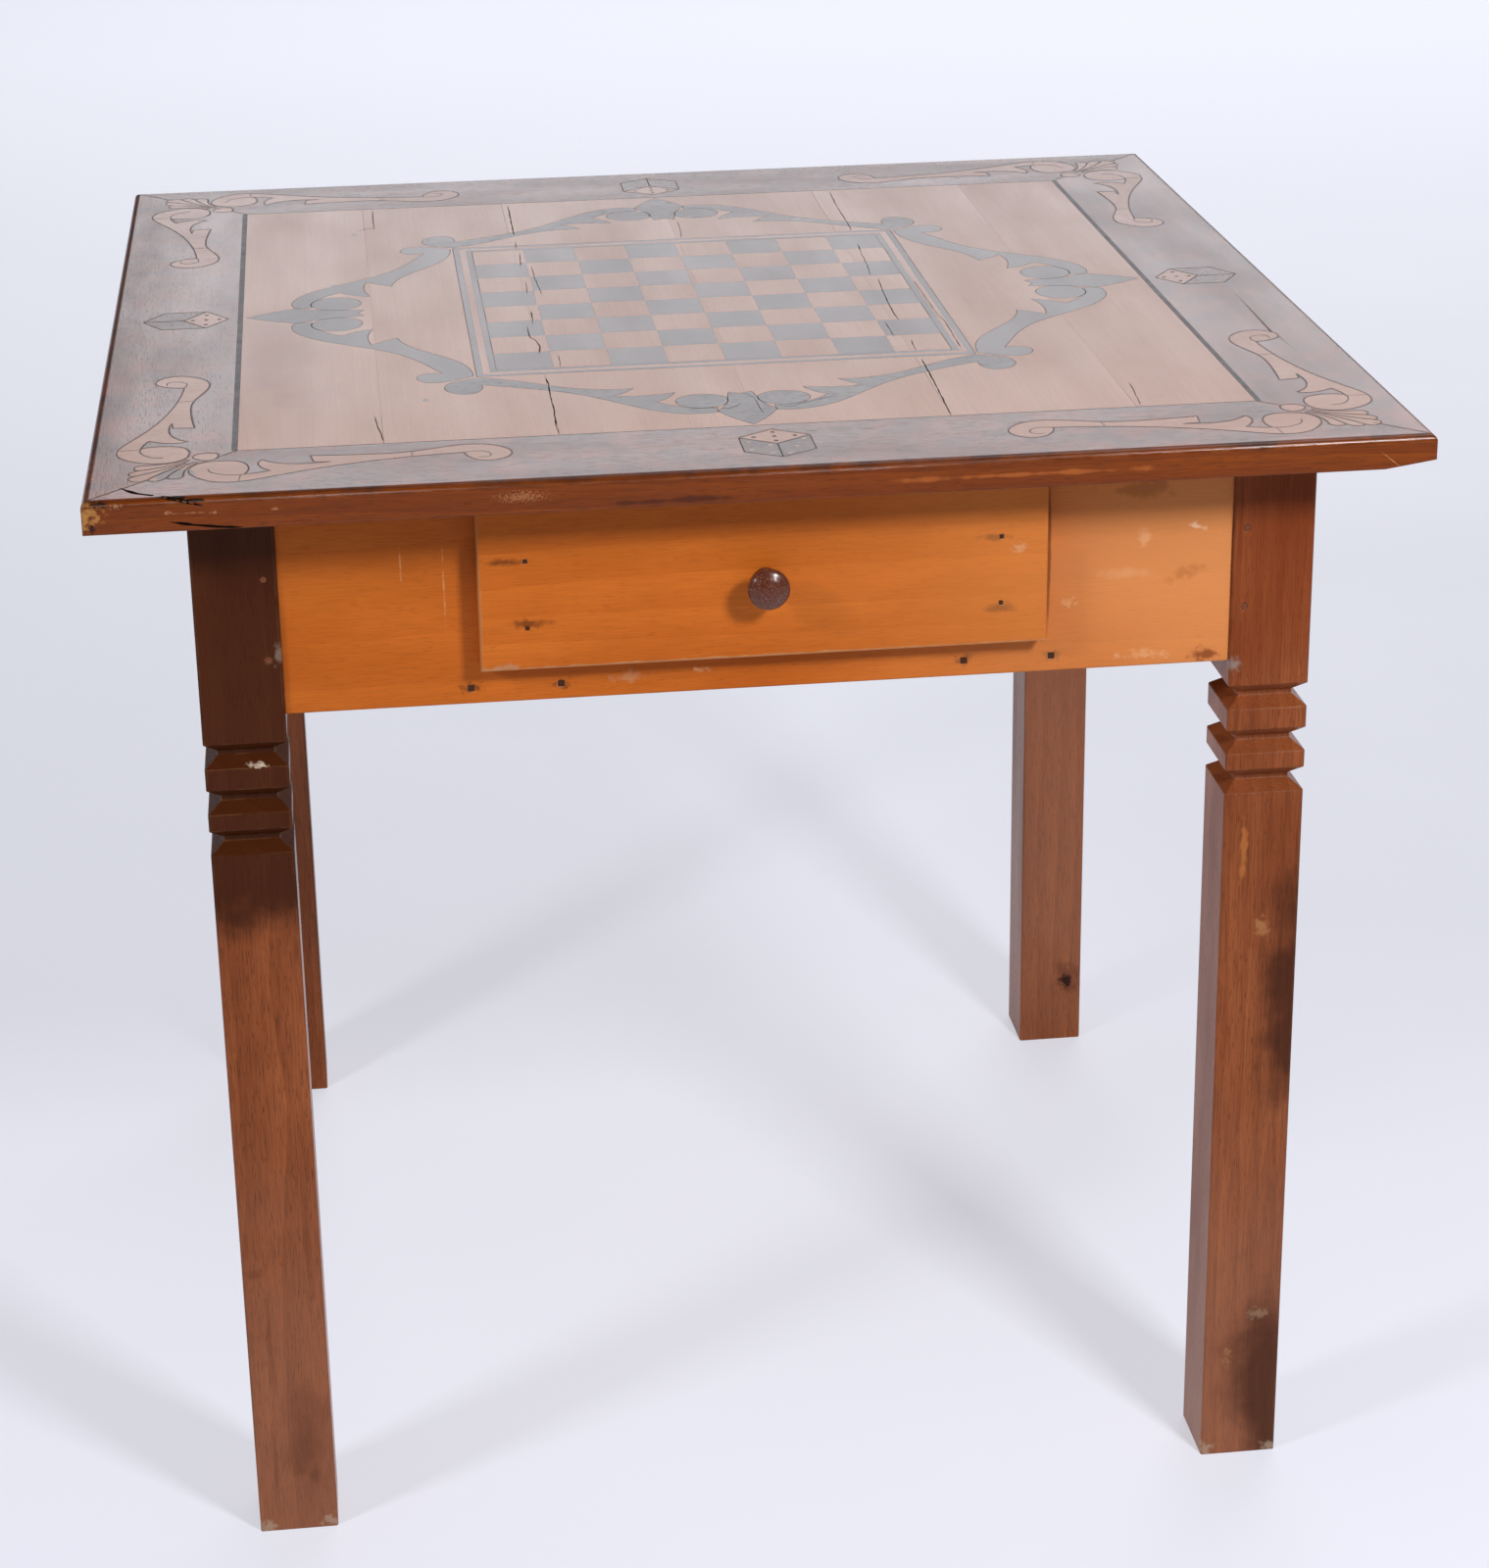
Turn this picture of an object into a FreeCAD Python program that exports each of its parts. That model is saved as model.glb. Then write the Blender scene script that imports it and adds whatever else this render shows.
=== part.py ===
"""Chess table with an inlaid top, carved leg necks and one drawer. All lengths are in millimetres.

The origin is on the floor under the middle of the top, +Z is up and the drawer opens towards -Y.
"""
import FreeCAD, Part
import math
import os
import Sketcher

SIZES = {
    # the whole table
    "table_height": 750.0,
    "top_side": 815.0,
    "top_thickness": 20.5,
    "base_side": 700.0,
    # frame and field of the top
    "rail_width": 90.0,
    "edge_round": 4.5,
    "tongue_thickness": 7.0,
    "tongue_length": 8.0,
    "tongue_gap": 0.3,
    "plank_gap": 0.12,
    # inlay
    "inlay_depth": 3.0,
    "inlay_gap": 0.3,
    "square_width": 37.8,
    "square_depth": 41.0,
    "square_kerf": 0.3,
    "dark_string": 4.2,
    "light_string": 5.0,
    # legs
    "leg_side": 52.0,
    "leg_ease": 1.2,
    "neck_drop": 17.0,
    "neck_groove": 16.5,
    "neck_depth": 8.5,
    "neck_floor": 3.0,
    "upper_ring": 14.0,
    "lower_ring": 11.0,
    # aprons, their tenons and the pegs through them
    "apron_height": 141.5,
    "apron_thickness": 20.0,
    "apron_setback": 3.0,
    "tenon_thickness": 12.0,
    "tenon_length": 26.0,
    "tenon_shoulder": 12.0,
    "mortise_gap": 0.3,
    "peg_diameter": 4.4,
    "peg_length": 25.0,
    "peg_inset": 8.3,
    "pin_gap": 0.1,
    # corner blocks and the screws that hold the top
    "block_reach": 75.0,
    "block_height": 25.0,
    "screw_diameter": 4.0,
    "screw_length": 37.0,
    "screw_head_diameter": 8.0,
    "screw_head_height": 3.0,
    # drawer runners and guides, and the nails that hold them
    "runner_lift": 2.0,
    "runner_ledge": 36.0,
    "guide_width": 36.0,
    "guide_height": 28.0,
    "runner_nail_side": 4.0,
    "runner_nail_length": 45.0,
    "runner_nail_inset": 8.0,
    "runner_nail_rise": 10.0,
    # drawer
    "opening_width": 310.0,
    "sill_height": 34.0,
    "drawer_length": 420.0,
    "drawer_side": 12.0,
    "drawer_back": 12.0,
    "drawer_bottom": 6.0,
    "bottom_rise": 8.0,
    "bottom_groove": 5.0,
    "side_gap": 1.5,
    "slide_gap": 0.3,
    "head_gap": 3.0,
    "front_thickness": 15.0,
    "front_lip": 22.0,
    "front_drop": 8.5,
    "front_gap": 2.0,
    "front_ease": 2.0,
    "drawer_nail_side": 2.6,
    "drawer_nail_length": 40.0,
    # knob
    "knob_diameter": 26.0,
    "knob_reach": 24.0,
    "knob_tenon": 10.0,
    # how far a cut runs past the wood that it leaves
    "overrun": 5.0,
}

doc = FreeCAD.newDocument("ChessTable")
sheet = doc.addObject("Spreadsheet::Sheet", "Size")
for row, (size_name, size_value) in enumerate(SIZES.items(), start=1):
    sheet.set(f"A{row}", size_name)
    sheet.set(f"B{row}", str(size_value))
    sheet.setAlias(f"B{row}", size_name)
doc.recompute()

# Distances that follow from the sizes, written as expressions
TOP_HALF = "(Size.top_side / 2)"
FIELD_HALF = f"({TOP_HALF} - Size.rail_width)"
TOP_UNDER = "(Size.table_height - Size.top_thickness)"
INLAY_FLOOR = "(Size.table_height - Size.inlay_depth)"
TONGUE_TOP = f"({TOP_UNDER} + Size.top_thickness / 2 + Size.tongue_thickness / 2)"
TONGUE_UNDER = f"({TONGUE_TOP} - Size.tongue_thickness)"
SQUARES_X = "(Size.square_width * 4)"
SQUARES_Y = "(Size.square_depth * 4)"
STRINGS = "(Size.dark_string * 2 + Size.light_string)"
BOARD_X = f"({SQUARES_X} + {STRINGS})"
BOARD_Y = f"({SQUARES_Y} + {STRINGS})"
LEG_HALF = "(Size.leg_side / 2)"
LEG_CENTRE = f"(Size.base_side / 2 - {LEG_HALF})"
LEG_INNER = "(Size.base_side / 2 - Size.leg_side)"
APRON_BASE = f"({TOP_UNDER} - Size.apron_height)"
APRON_FACE = "(Size.base_side / 2 - Size.apron_setback)"
APRON_MIDDLE = f"({APRON_FACE} - Size.apron_thickness / 2)"
APRON_BACK = f"({APRON_FACE} - Size.apron_thickness)"
TENON_UNDER = f"({APRON_BASE} + Size.tenon_shoulder)"
TENON_TOP = f"({TOP_UNDER} - Size.tenon_shoulder)"
PEG_AT = f"({LEG_INNER} + Size.peg_inset)"
PEG_HOLE = "(Size.peg_diameter + Size.pin_gap * 2)"
SCREW_AT = f"(({LEG_INNER} * 3 + {APRON_BACK} - Size.block_reach) / 4)"
SCREW_HOLE = "(Size.screw_diameter + Size.pin_gap * 2)"
SCREW_BASE = f"({TOP_UNDER} - Size.block_height)"
OPENING_HALF = "(Size.opening_width / 2)"
SILL_TOP = f"({APRON_BASE} + Size.sill_height)"
RUNNER_IN = f"({OPENING_HALF} - Size.runner_ledge)"
RUNNER_OUT = f"({OPENING_HALF} + Size.guide_width)"
RUNNER_BASE = f"({APRON_BASE} + Size.runner_lift)"
RUNNER_NAIL_HOLE = "(Size.runner_nail_side + Size.pin_gap * 2)"
RUNNER_NAIL_Z = f"({APRON_BASE} + Size.runner_nail_rise)"
RUNNER_NAIL_XS = (
    f"({RUNNER_IN} + Size.runner_nail_inset)",
    f"({RUNNER_OUT} - Size.runner_nail_inset)",
)
DRAWER_NAIL_HOLE = "(Size.drawer_nail_side + Size.pin_gap * 2)"
DRAWER_HALF = f"({OPENING_HALF} - Size.side_gap)"
DRAWER_INNER = f"({DRAWER_HALF} - Size.drawer_side)"
DRAWER_BASE = f"({SILL_TOP} + Size.slide_gap)"
DRAWER_HEAD = f"({TOP_UNDER} - Size.head_gap)"
FRONT_BACK = f"({APRON_FACE} + Size.slide_gap)"
FRONT_FACE = f"({FRONT_BACK} + Size.front_thickness)"
FRONT_HALF = f"({OPENING_HALF} + Size.front_lip)"
FRONT_BASE = f"({SILL_TOP} - Size.front_drop)"
FRONT_TOP = f"({TOP_UNDER} - Size.front_gap)"
DRAWER_END = f"(Size.drawer_length - {FRONT_BACK})"
BOTTOM_UNDER = f"({DRAWER_BASE} + Size.bottom_rise)"
BOTTOM_TOP = f"({BOTTOM_UNDER} + Size.drawer_bottom)"

# Places given as shares of the piece that carries them
PLANK_JOINT_SHARES = (-0.72, -0.38, 0.01, 0.39, 0.76)
PEG_HEIGHT_SHARES = (0.26, 0.63)
NAIL_HEIGHT_SHARES = (0.24, 0.62)
KNOB_HEIGHT_SHARE = 0.44

# Turned profile of the knob: shares of its reach and of its radius, from the drawer front outwards
KNOB_PROFILE_SHARES = (
    (0.00, 0.66), (0.10, 0.66), (0.18, 0.56), (0.34, 0.50), (0.48, 0.62), (0.58, 0.88),
    (0.66, 1.00), (0.76, 1.00), (0.83, 0.90), (0.86, 0.80), (0.93, 0.60), (0.98, 0.32), (1.00, 0.00),
)

# Scroll ornament on the field, beside one edge of the board. The first share is of the half length of
# that edge, the second of the way from the edge out to the frame. Each row is a smooth stretch.
LEAF_SHARES = (
    ((0.0, 0.985), (0.065, 0.875), (0.115, 0.755)),
    ((0.115, 0.755), (0.085, 0.68), (0.06, 0.60)),
    ((0.06, 0.60), (0.055, 0.52), (0.045, 0.45)),
    ((0.045, 0.45), (0.0, 0.48)),
)
EYE_CENTRE_SHARES = (0.157, 0.578)
EYE_RADIUS_SHARES = (0.105, 0.115)
ARM_TIP_SHARES = (
    ((0.40, 0.315), (0.44, 0.38), (0.485, 0.43)),
    ((0.485, 0.43), (0.37, 0.445), (0.25, 0.415)),
    ((0.25, 0.415), (0.28, 0.495), (0.33, 0.56)),
    ((0.33, 0.56), (0.25, 0.645), (0.11, 0.69)),
    ((0.11, 0.69), (0.11, 0.765)),
)
WIDE_ARM_SHARES = (
    ((0.11, 0.765), (0.20, 0.78), (0.33, 0.717), (0.45, 0.585), (0.61, 0.39), (0.82, 0.235), (0.988, 0.143)),
    ((0.988, 0.143), (0.99, 0.222), (1.03, 0.287), (1.09, 0.272), (1.133, 0.194), (1.115, 0.093),
     (1.055, 0.036), (0.99, 0.014)),
    ((0.99, 0.014), (0.82, 0.122), (0.61, 0.28), (0.40, 0.315)),
)
DEEP_ARM_SHARES = (
    ((0.11, 0.765), (0.20, 0.78), (0.33, 0.717), (0.45, 0.575), (0.65, 0.31), (0.843, 0.19), (0.933, 0.144)),
    ((0.933, 0.144), (0.924, 0.197), (0.955, 0.249), (1.011, 0.249), (1.053, 0.203), (1.05, 0.138),
     (1.017, 0.066), (0.99, 0.013)),
    ((0.99, 0.013), (0.90, 0.02), (0.80, 0.055), (0.60, 0.215), (0.40, 0.315)),
)

# Corner ornament on the frame. Both shares are of the rail's width: along the rail from the outer
# corner, and in from the outer edge.
SCROLL_SHARES = (
    ((2.52, 0.60), (2.55, 0.49), (2.64, 0.40), (2.77, 0.42), (2.84, 0.55), (2.78, 0.69), (2.66, 0.77),
     (2.51, 0.78), (2.16, 0.68), (1.86, 0.667), (1.49, 0.70)),
    ((1.49, 0.70), (1.51, 0.55)),
    ((1.51, 0.55), (1.62, 0.54)),
    ((1.62, 0.54), (1.40, 0.53), (1.27, 0.57), (1.17, 0.66)),
    ((1.17, 0.66), (1.14, 0.56), (1.17, 0.47), (1.22, 0.40)),
    ((1.22, 0.40), (1.13, 0.365), (1.05, 0.35)),
    ((1.05, 0.35), (1.08, 0.49), (1.02, 0.64), (0.88, 0.68), (0.75, 0.64), (0.68, 0.48), (0.74, 0.32),
     (0.86, 0.21), (1.01, 0.19), (1.19, 0.25), (1.42, 0.355), (1.92, 0.515), (2.52, 0.60)),
)
OUTER_PETAL_SHARES = (
    ((0.738, 0.662), (0.685, 0.575), (0.655, 0.47), (0.652, 0.375)),
    ((0.652, 0.375), (0.62, 0.325), (0.575, 0.318), (0.54, 0.345)),
    ((0.54, 0.345), (0.578, 0.455), (0.64, 0.575), (0.718, 0.682)),
    ((0.718, 0.682), (0.738, 0.662)),
)
INNER_PETAL_SHARES = (
    ((0.70, 0.645), (0.655, 0.575), (0.60, 0.46), (0.575, 0.38)),
    ((0.575, 0.38), (0.535, 0.342), (0.505, 0.303), (0.455, 0.288), (0.415, 0.32)),
    ((0.415, 0.32), (0.475, 0.42), (0.57, 0.545), (0.665, 0.655)),
    ((0.665, 0.655), (0.70, 0.645)),
)
MIDDLE_PETAL_SHARES = (
    ((0.62, 0.58), (0.585, 0.54), (0.49, 0.415), (0.445, 0.35)),
    ((0.445, 0.35), (0.408, 0.318), (0.365, 0.288), (0.312, 0.312), (0.288, 0.365), (0.318, 0.408),
     (0.35, 0.445)),
    ((0.35, 0.445), (0.415, 0.49), (0.54, 0.585), (0.58, 0.62)),
    ((0.58, 0.62), (0.62, 0.58)),
)
BUD_SHARES = (
    ((0.775, 0.705), (0.845, 0.72), (0.875, 0.80), (0.862, 0.862)),
    ((0.862, 0.862), (0.80, 0.875), (0.72, 0.845), (0.705, 0.775)),
    ((0.705, 0.775), (0.735, 0.735), (0.775, 0.705)),
)
# The first corner's ornament sits further in from the front edge than the others
ORNAMENT_SHIFT_SHARES = ((0.0, 0.10), (0.0, 0.0), (0.0, 0.0), (0.0, 0.0))

# Die on the frame: shares of the rail's width, along the rail from its middle and out from the field
DIE_TOP_SHARES = ((0.0, 0.11), (0.245, 0.28), (0.0, 0.45), (-0.245, 0.28))
DIE_FACE_SHARES = ((0.0, 0.45), (0.245, 0.28), (0.245, 0.61), (0.0, 0.76))
# How far each die sits off the middle of its rail
DIE_SHIFT_SHARES = (0.10, 0.0, 0.0, 0.0)

SIDES = ("front", "right", "back", "left")
CORNERS = ("front_left", "front_right", "back_right", "back_left")
EYE_POINTS = 8
PEG_SIDES = 8
TOLERANCE = 1e-6
UP = FreeCAD.Vector(0, 0, 1)
nodes = []


def value(expression):
    """The length that an expression stands for."""
    return float(sheet.evalExpression(expression))


def quarter_turn(quarter):
    """A placement turned about the table's upright axis, by quarters of a turn."""
    return FreeCAD.Placement(FreeCAD.Vector(), FreeCAD.Rotation(UP, 90 * quarter))


def turned(x, y, quarter):
    """The expressions of a place in plan after some quarter turns about the table's axis."""
    return ((x, y), (f"-({y})", x), (f"-({x})", f"-({y})"), (y, f"-({x})"))[quarter]


def keep(piece, label):
    """Names a finished piece and lists it among those that are written."""
    piece.Label = label
    nodes.append(piece)
    return piece


def new_body(name, quarter=0):
    """An empty body, turned about the table's axis."""
    body = doc.addObject("PartDesign::Body", name)
    body.Placement = quarter_turn(quarter)
    return body


def origin_feature(body, role):
    """The body's own origin plane or axis of that role."""
    return next(feature for feature in body.Origin.OriginFeatures if feature.Role == role)


def new_sketch(body, plane, level):
    """An empty sketch on an origin plane of the body, moved along the plane's normal."""
    sketch = body.newObject("Sketcher::SketchObject", "Outline")
    sketch.AttachmentSupport = [(origin_feature(body, plane), "")]
    sketch.MapMode = "FlatFace"
    sketch.setExpression("AttachmentOffset.Base.z", level)
    return sketch


def bind_point(sketch, edge, vertex, place):
    """Ties a point of the sketch to a pair of expressions, measured from the sketch's origin."""
    for kind, expression in zip(("DistanceX", "DistanceY"), place):
        constraint = Sketcher.Constraint(kind, -1, 1, edge, vertex, value(expression))
        index = sketch.addConstraint(constraint)
        sketch.setExpression(f"Constraints[{index}]", expression)


def outlines(body, plane, level, loops):
    """A sketch of closed outlines with straight edges, each corner tied to a pair of expressions."""
    sketch = new_sketch(body, plane, level)
    for corners in loops:
        first = sketch.GeometryCount
        places = [FreeCAD.Vector(value(x), value(y), 0) for x, y in corners]
        following = places[1:] + places[:1]
        for index, ends in enumerate(zip(places, following)):
            sketch.addGeometry(Part.LineSegment(*ends))
            bind_point(sketch, first + index, 1, corners[index])
        count = len(places)
        for index in range(count):
            after = first + (index + 1) % count
            sketch.addConstraint(Sketcher.Constraint("Coincident", first + index, 2, after, 1))
    return sketch


def outline(body, plane, level, corners):
    """A sketch of one closed outline."""
    return outlines(body, plane, level, [corners])


def rectangle(body, plane, level, left, right, lower, upper):
    """A rectangle with its four edges tied to expressions."""
    corners = ((left, lower), (right, lower), (right, upper), (left, upper))
    return outline(body, plane, level, corners)


def squares(body, plane, level, places, side):
    """Equal squares about places tied to expressions."""
    loops = []
    for x, y in places:
        left, right = (f"{x} {sign} {side} / 2" for sign in "-+")
        lower, upper = (f"{y} {sign} {side} / 2" for sign in "-+")
        loops.append(((left, lower), (right, lower), (right, upper), (left, upper)))
    return outlines(body, plane, level, loops)


def circles(body, plane, level, places, diameter):
    """Equal circles at places tied to expressions."""
    sketch = new_sketch(body, plane, level)
    for index, place in enumerate(places):
        centre = FreeCAD.Vector(value(place[0]), value(place[1]), 0)
        sketch.addGeometry(Part.Circle(centre, UP, value(diameter) / 2))
        bind_point(sketch, index, 3, place)
        size = sketch.addConstraint(Sketcher.Constraint("Diameter", index, value(diameter)))
        sketch.setExpression(f"Constraints[{size}]", diameter)
    return sketch


def pad(body, sketch, length):
    """Raises a sketch along its normal."""
    feature = body.newObject("PartDesign::Pad", "Pad")
    feature.Profile = sketch
    feature.setExpression("Length", length)
    doc.recompute()
    return feature


def pocket(body, sketch, length, along_normal=False):
    """Cuts a sketch into the body, against its normal or along it, and makes sure that wood was cut."""
    before = body.Shape.Volume
    feature = body.newObject("PartDesign::Pocket", "Pocket")
    feature.Profile = sketch
    feature.Reversed = along_normal
    feature.setExpression("Length", length)
    doc.recompute()
    if body.Shape.Volume > before * (1 - TOLERANCE):
        raise RuntimeError(f"{body.Name}: {feature.Name} cuts nothing")
    return feature


def ease(body, kind, feature, chosen, size_name, expression):
    """Rounds or chamfers those edges of a feature for which chosen(edge) is true."""
    names = [f"Edge{number}" for number, edge in enumerate(feature.Shape.Edges, start=1) if chosen(edge)]
    eased = body.newObject(kind, "Eased")
    eased.Base = (feature, names)
    eased.setExpression(size_name, expression)
    doc.recompute()
    return eased


def lies_at(edge, **place):
    """Whether every end of an edge has the coordinates given by name, such as x or z."""
    axes = {"x": 0, "y": 1, "z": 2}
    ends = [vertex.Point for vertex in edge.Vertexes]
    return all(abs(end[axes[axis]] - at) < TOLERANCE for end in ends for axis, at in place.items())


def plank(name, left, right, near, far, under, thickness):
    """A body that is a plain board, given by its plan, its underside and its thickness."""
    body = new_body(name)
    pad(body, rectangle(body, "XY_Plane", under, left, right, near, far), thickness)
    return body


def bound(piece, expressions):
    """Ties properties of a piece to expressions."""
    for name, expression in expressions.items():
        piece.setExpression(name, expression)
    return piece


def block(length, width, height, x, y, z):
    """A box with its size and lowest corner tied to expressions."""
    piece = doc.addObject("Part::Box", "Block")
    places = {"Placement.Base.x": x, "Placement.Base.y": y, "Placement.Base.z": z}
    return bound(piece, {"Length": length, "Width": width, "Height": height, **places})


def pointing(piece, place, direction, spin=0):
    """Puts a piece that stands on its origin at a place, to run in a direction, spun about its own axis."""
    turn = FreeCAD.Rotation(UP, direction).multiply(FreeCAD.Rotation(UP, spin))
    piece.Placement = FreeCAD.Placement(FreeCAD.Vector(), turn)
    places = {f"Placement.Base.{axis}": expression for axis, expression in zip("xyz", place)}
    return bound(piece, places)


def pin(diameter, length, place, direction):
    """A round pin that starts at a place and runs in a direction."""
    piece = pointing(doc.addObject("Part::Cylinder", "Pin"), place, direction)
    return bound(piece, {"Radius": f"{diameter} / 2", "Height": length})


def peg(diameter, length, place, direction):
    """A peg split to eight sides that starts at a place and runs in a direction."""
    piece = pointing(doc.addObject("Part::Prism", "Peg"), place, direction)
    piece.Polygon = PEG_SIDES
    return bound(piece, {"Circumradius": f"{diameter} / 2", "Height": length})


def nail(side, length, place, direction):
    """A square nail that starts at a place and runs in a direction, two of its sides upright."""
    piece = pointing(doc.addObject("Part::Prism", "Nail"), place, direction, 45)
    piece.Polygon = 4
    return bound(piece, {"Circumradius": f"{side} / sqrt(2)", "Height": length})


def group(name, pieces):
    """Separate pieces held as one object."""
    together = doc.addObject("Part::Compound", name)
    together.Links = pieces
    return together


def fused(name, pieces):
    """Pieces joined to one solid."""
    joined = doc.addObject("Part::MultiFuse", name)
    joined.Shapes = pieces
    return joined


def less(name, base, tool):
    """One piece with another cut out of it."""
    rest = doc.addObject("Part::Cut", name)
    rest.Base = base
    rest.Tool = tool
    return rest


def shaped(name, shape):
    """An object that holds a shape worked out from the sizes."""
    piece = doc.addObject("Part::Feature", name)
    piece.Shape = shape
    return piece


# Inlay outlines


def smooth_edge(points):
    """A straight edge through two points, or a smooth curve through more."""
    if len(points) == 2:
        return Part.LineSegment(*points).toShape()
    curve = Part.BSplineCurve()
    curve.interpolate(points)
    return curve.toShape()


def inlay_face(stretches, place):
    """A flat face inside stretches of outline, each share put in its place on the inlay's floor."""
    return Part.Face(Part.Wire([smooth_edge([place(*share) for share in row]) for row in stretches]))


def mirrored_shares(stretches):
    """The other half of an outline that is symmetrical about its first axis, running back."""
    return tuple(tuple((-along, out) for along, out in reversed(row)) for row in reversed(stretches))


def polygon_rows(corners):
    """The straight stretches round a list of corners."""
    return tuple(zip(corners, corners[1:] + corners[:1]))


def set_back(face, seam):
    """A face made smaller all round, its offset edges turned to plain curves that any reader can use."""
    smaller = []
    for part in face.makeOffset2D(-seam).Faces:
        smaller.append(Part.Face(Part.Wire([plain_edge(edge) for edge in part.OuterWire.OrderedEdges])))
    return Part.makeCompound(smaller)


def plain_edge(edge):
    """An edge whose curve stands by itself, not as an offset from another."""
    if isinstance(edge.Curve, Part.OffsetCurve):
        return edge.Curve.toBSpline(*edge.ParameterRange).toShape()
    return edge


def let_in(faces, before=()):
    """Raises faces to inlay pieces, each cut by those before it and set back all round by the seam."""
    seam = value("Size.inlay_gap")
    depth = UP * value("Size.inlay_depth")
    pieces = []
    cutters = list(before)
    for face in faces:
        rest = face.cut(cutters) if cutters else face
        pieces.append([solid for part in rest.Faces for solid in set_back(part, seam).extrude(depth).Solids])
        cutters.append(face)
    return pieces


def side_place(quarter):
    """Places shares beside one edge of the board: along its half length, and out towards the frame."""
    half, edge = (BOARD_X, BOARD_Y) if quarter % 2 == 0 else (BOARD_Y, BOARD_X)
    half_length = value(half)
    edge_at = value(edge)
    way_out = value(FIELD_HALF) - edge_at
    turn = quarter_turn(quarter)
    floor = value(INLAY_FLOOR)

    def place(along, out):
        return turn.multVec(FreeCAD.Vector(along * half_length, -(edge_at + out * way_out), floor))

    return place


def corner_place(quarter, swapped):
    """Places shares of the rail's width at one corner, along one rail or, swapped, along the other."""
    corner = value(TOP_HALF)
    width = value("Size.rail_width")
    shift = ORNAMENT_SHIFT_SHARES[quarter]
    turn = quarter_turn(quarter)
    floor = value(INLAY_FLOOR)

    def place(along, inward):
        first, second = (inward, along) if swapped else (along, inward)
        x = (first + shift[0]) * width - corner
        y = (second + shift[1]) * width - corner
        return turn.multVec(FreeCAD.Vector(x, y, floor))

    return place


def rail_place(quarter):
    """Places shares of the rail's width on one rail: along it from the die, and out from the field."""
    field = value(FIELD_HALF)
    width = value("Size.rail_width")
    shift = DIE_SHIFT_SHARES[quarter]
    turn = quarter_turn(quarter)
    floor = value(INLAY_FLOOR)

    def place(along, out):
        return turn.multVec(FreeCAD.Vector((along + shift) * width, -(field + out * width), floor))

    return place


def eye_face(place, sign):
    """The round eye of a scroll, a closed curve through points about its centre."""
    points = []
    for index in range(EYE_POINTS):
        angle = 2 * math.pi * index / EYE_POINTS
        along = EYE_CENTRE_SHARES[0] + EYE_RADIUS_SHARES[0] * math.cos(angle)
        out = EYE_CENTRE_SHARES[1] + EYE_RADIUS_SHARES[1] * math.sin(angle)
        points.append(place(sign * along, out))
    curve = Part.BSplineCurve()
    curve.interpolate(points, PeriodicFlag=True)
    return Part.Face(Part.Wire(curve.toShape()))


def scroll_faces(quarter):
    """The faces of one scroll ornament: its leaf, its two eyes and its two arms."""
    place = side_place(quarter)
    arm = (WIDE_ARM_SHARES if quarter % 2 == 0 else DEEP_ARM_SHARES) + ARM_TIP_SHARES
    leaf = inlay_face(LEAF_SHARES + mirrored_shares(LEAF_SHARES), place)
    eyes = [eye_face(place, sign) for sign in (1, -1)]
    arms = [inlay_face(arm, place), inlay_face(mirrored_shares(arm), place)]
    return [leaf, *eyes, *arms]


def make_scrolls():
    """The four scroll ornaments round the board, and the faces of their outlines."""
    faces = []
    for quarter in (0, 2, 1, 3):
        own = scroll_faces(quarter)
        solids = [solid for piece in let_in(own, faces) for solid in piece]
        faces.extend(own)
        keep(shaped("Scroll", Part.makeCompound(solids)), f"{SIDES[quarter]}_scroll_inlay")
    return faces


def make_corner_ornaments():
    """The light ornament at each corner of the frame, and the faces of each one's outline."""
    faces = []
    for quarter, corner in enumerate(CORNERS):
        places = [corner_place(quarter, swapped) for swapped in (False, True)]
        paired = (SCROLL_SHARES, OUTER_PETAL_SHARES, INNER_PETAL_SHARES)
        own = [inlay_face(rows, place) for rows in paired for place in places]
        own.extend(inlay_face(rows, places[0]) for rows in (MIDDLE_PETAL_SHARES, BUD_SHARES))
        solids = [solid for piece in let_in(own) for solid in piece]
        faces.append(own)
        keep(shaped("Corner", Part.makeCompound(solids)), f"{corner}_corner_inlay")
    return faces


def make_dice():
    """The dice at the middle of the rails, light on top with two dark faces, and each one's outline."""
    tops = []
    dark_faces = []
    faces = []
    for quarter in range(len(SIDES)):
        place = rail_place(quarter)
        rows = polygon_rows(DIE_FACE_SHARES)
        outlines = (polygon_rows(DIE_TOP_SHARES), rows, mirrored_shares(rows))
        own = [inlay_face(row, place) for row in outlines]
        top, *dark = let_in(own)
        tops.extend(top)
        dark_faces.extend(solid for piece in dark for solid in piece)
        faces.append(own)
    keep(shaped("DieTops", Part.makeCompound(tops)), "die_tops")
    keep(shaped("DieFaces", Part.makeCompound(dark_faces)), "die_faces")
    return faces


# Chess board


def make_squares():
    """The 32 dark squares, the front left one among them, and the pockets that take them."""
    squares = []
    pockets = []
    for column in range(8):
        for rank in range(8):
            if (column + rank) % 2:
                continue
            x = f"Size.square_width * {column} + Size.square_kerf / 2 - {SQUARES_X}"
            y = f"Size.square_depth * {rank} + Size.square_kerf / 2 - {SQUARES_Y}"
            sides = ("Size.square_width - Size.square_kerf", "Size.square_depth - Size.square_kerf")
            squares.append(block(*sides, "Size.inlay_depth", x, y, INLAY_FLOOR))
            pockets.append(block(*sides, "Size.inlay_depth + Size.overrun", x, y, INLAY_FLOOR))
    keep(group("DarkSquares", squares), "dark_squares")
    return pockets


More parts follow.
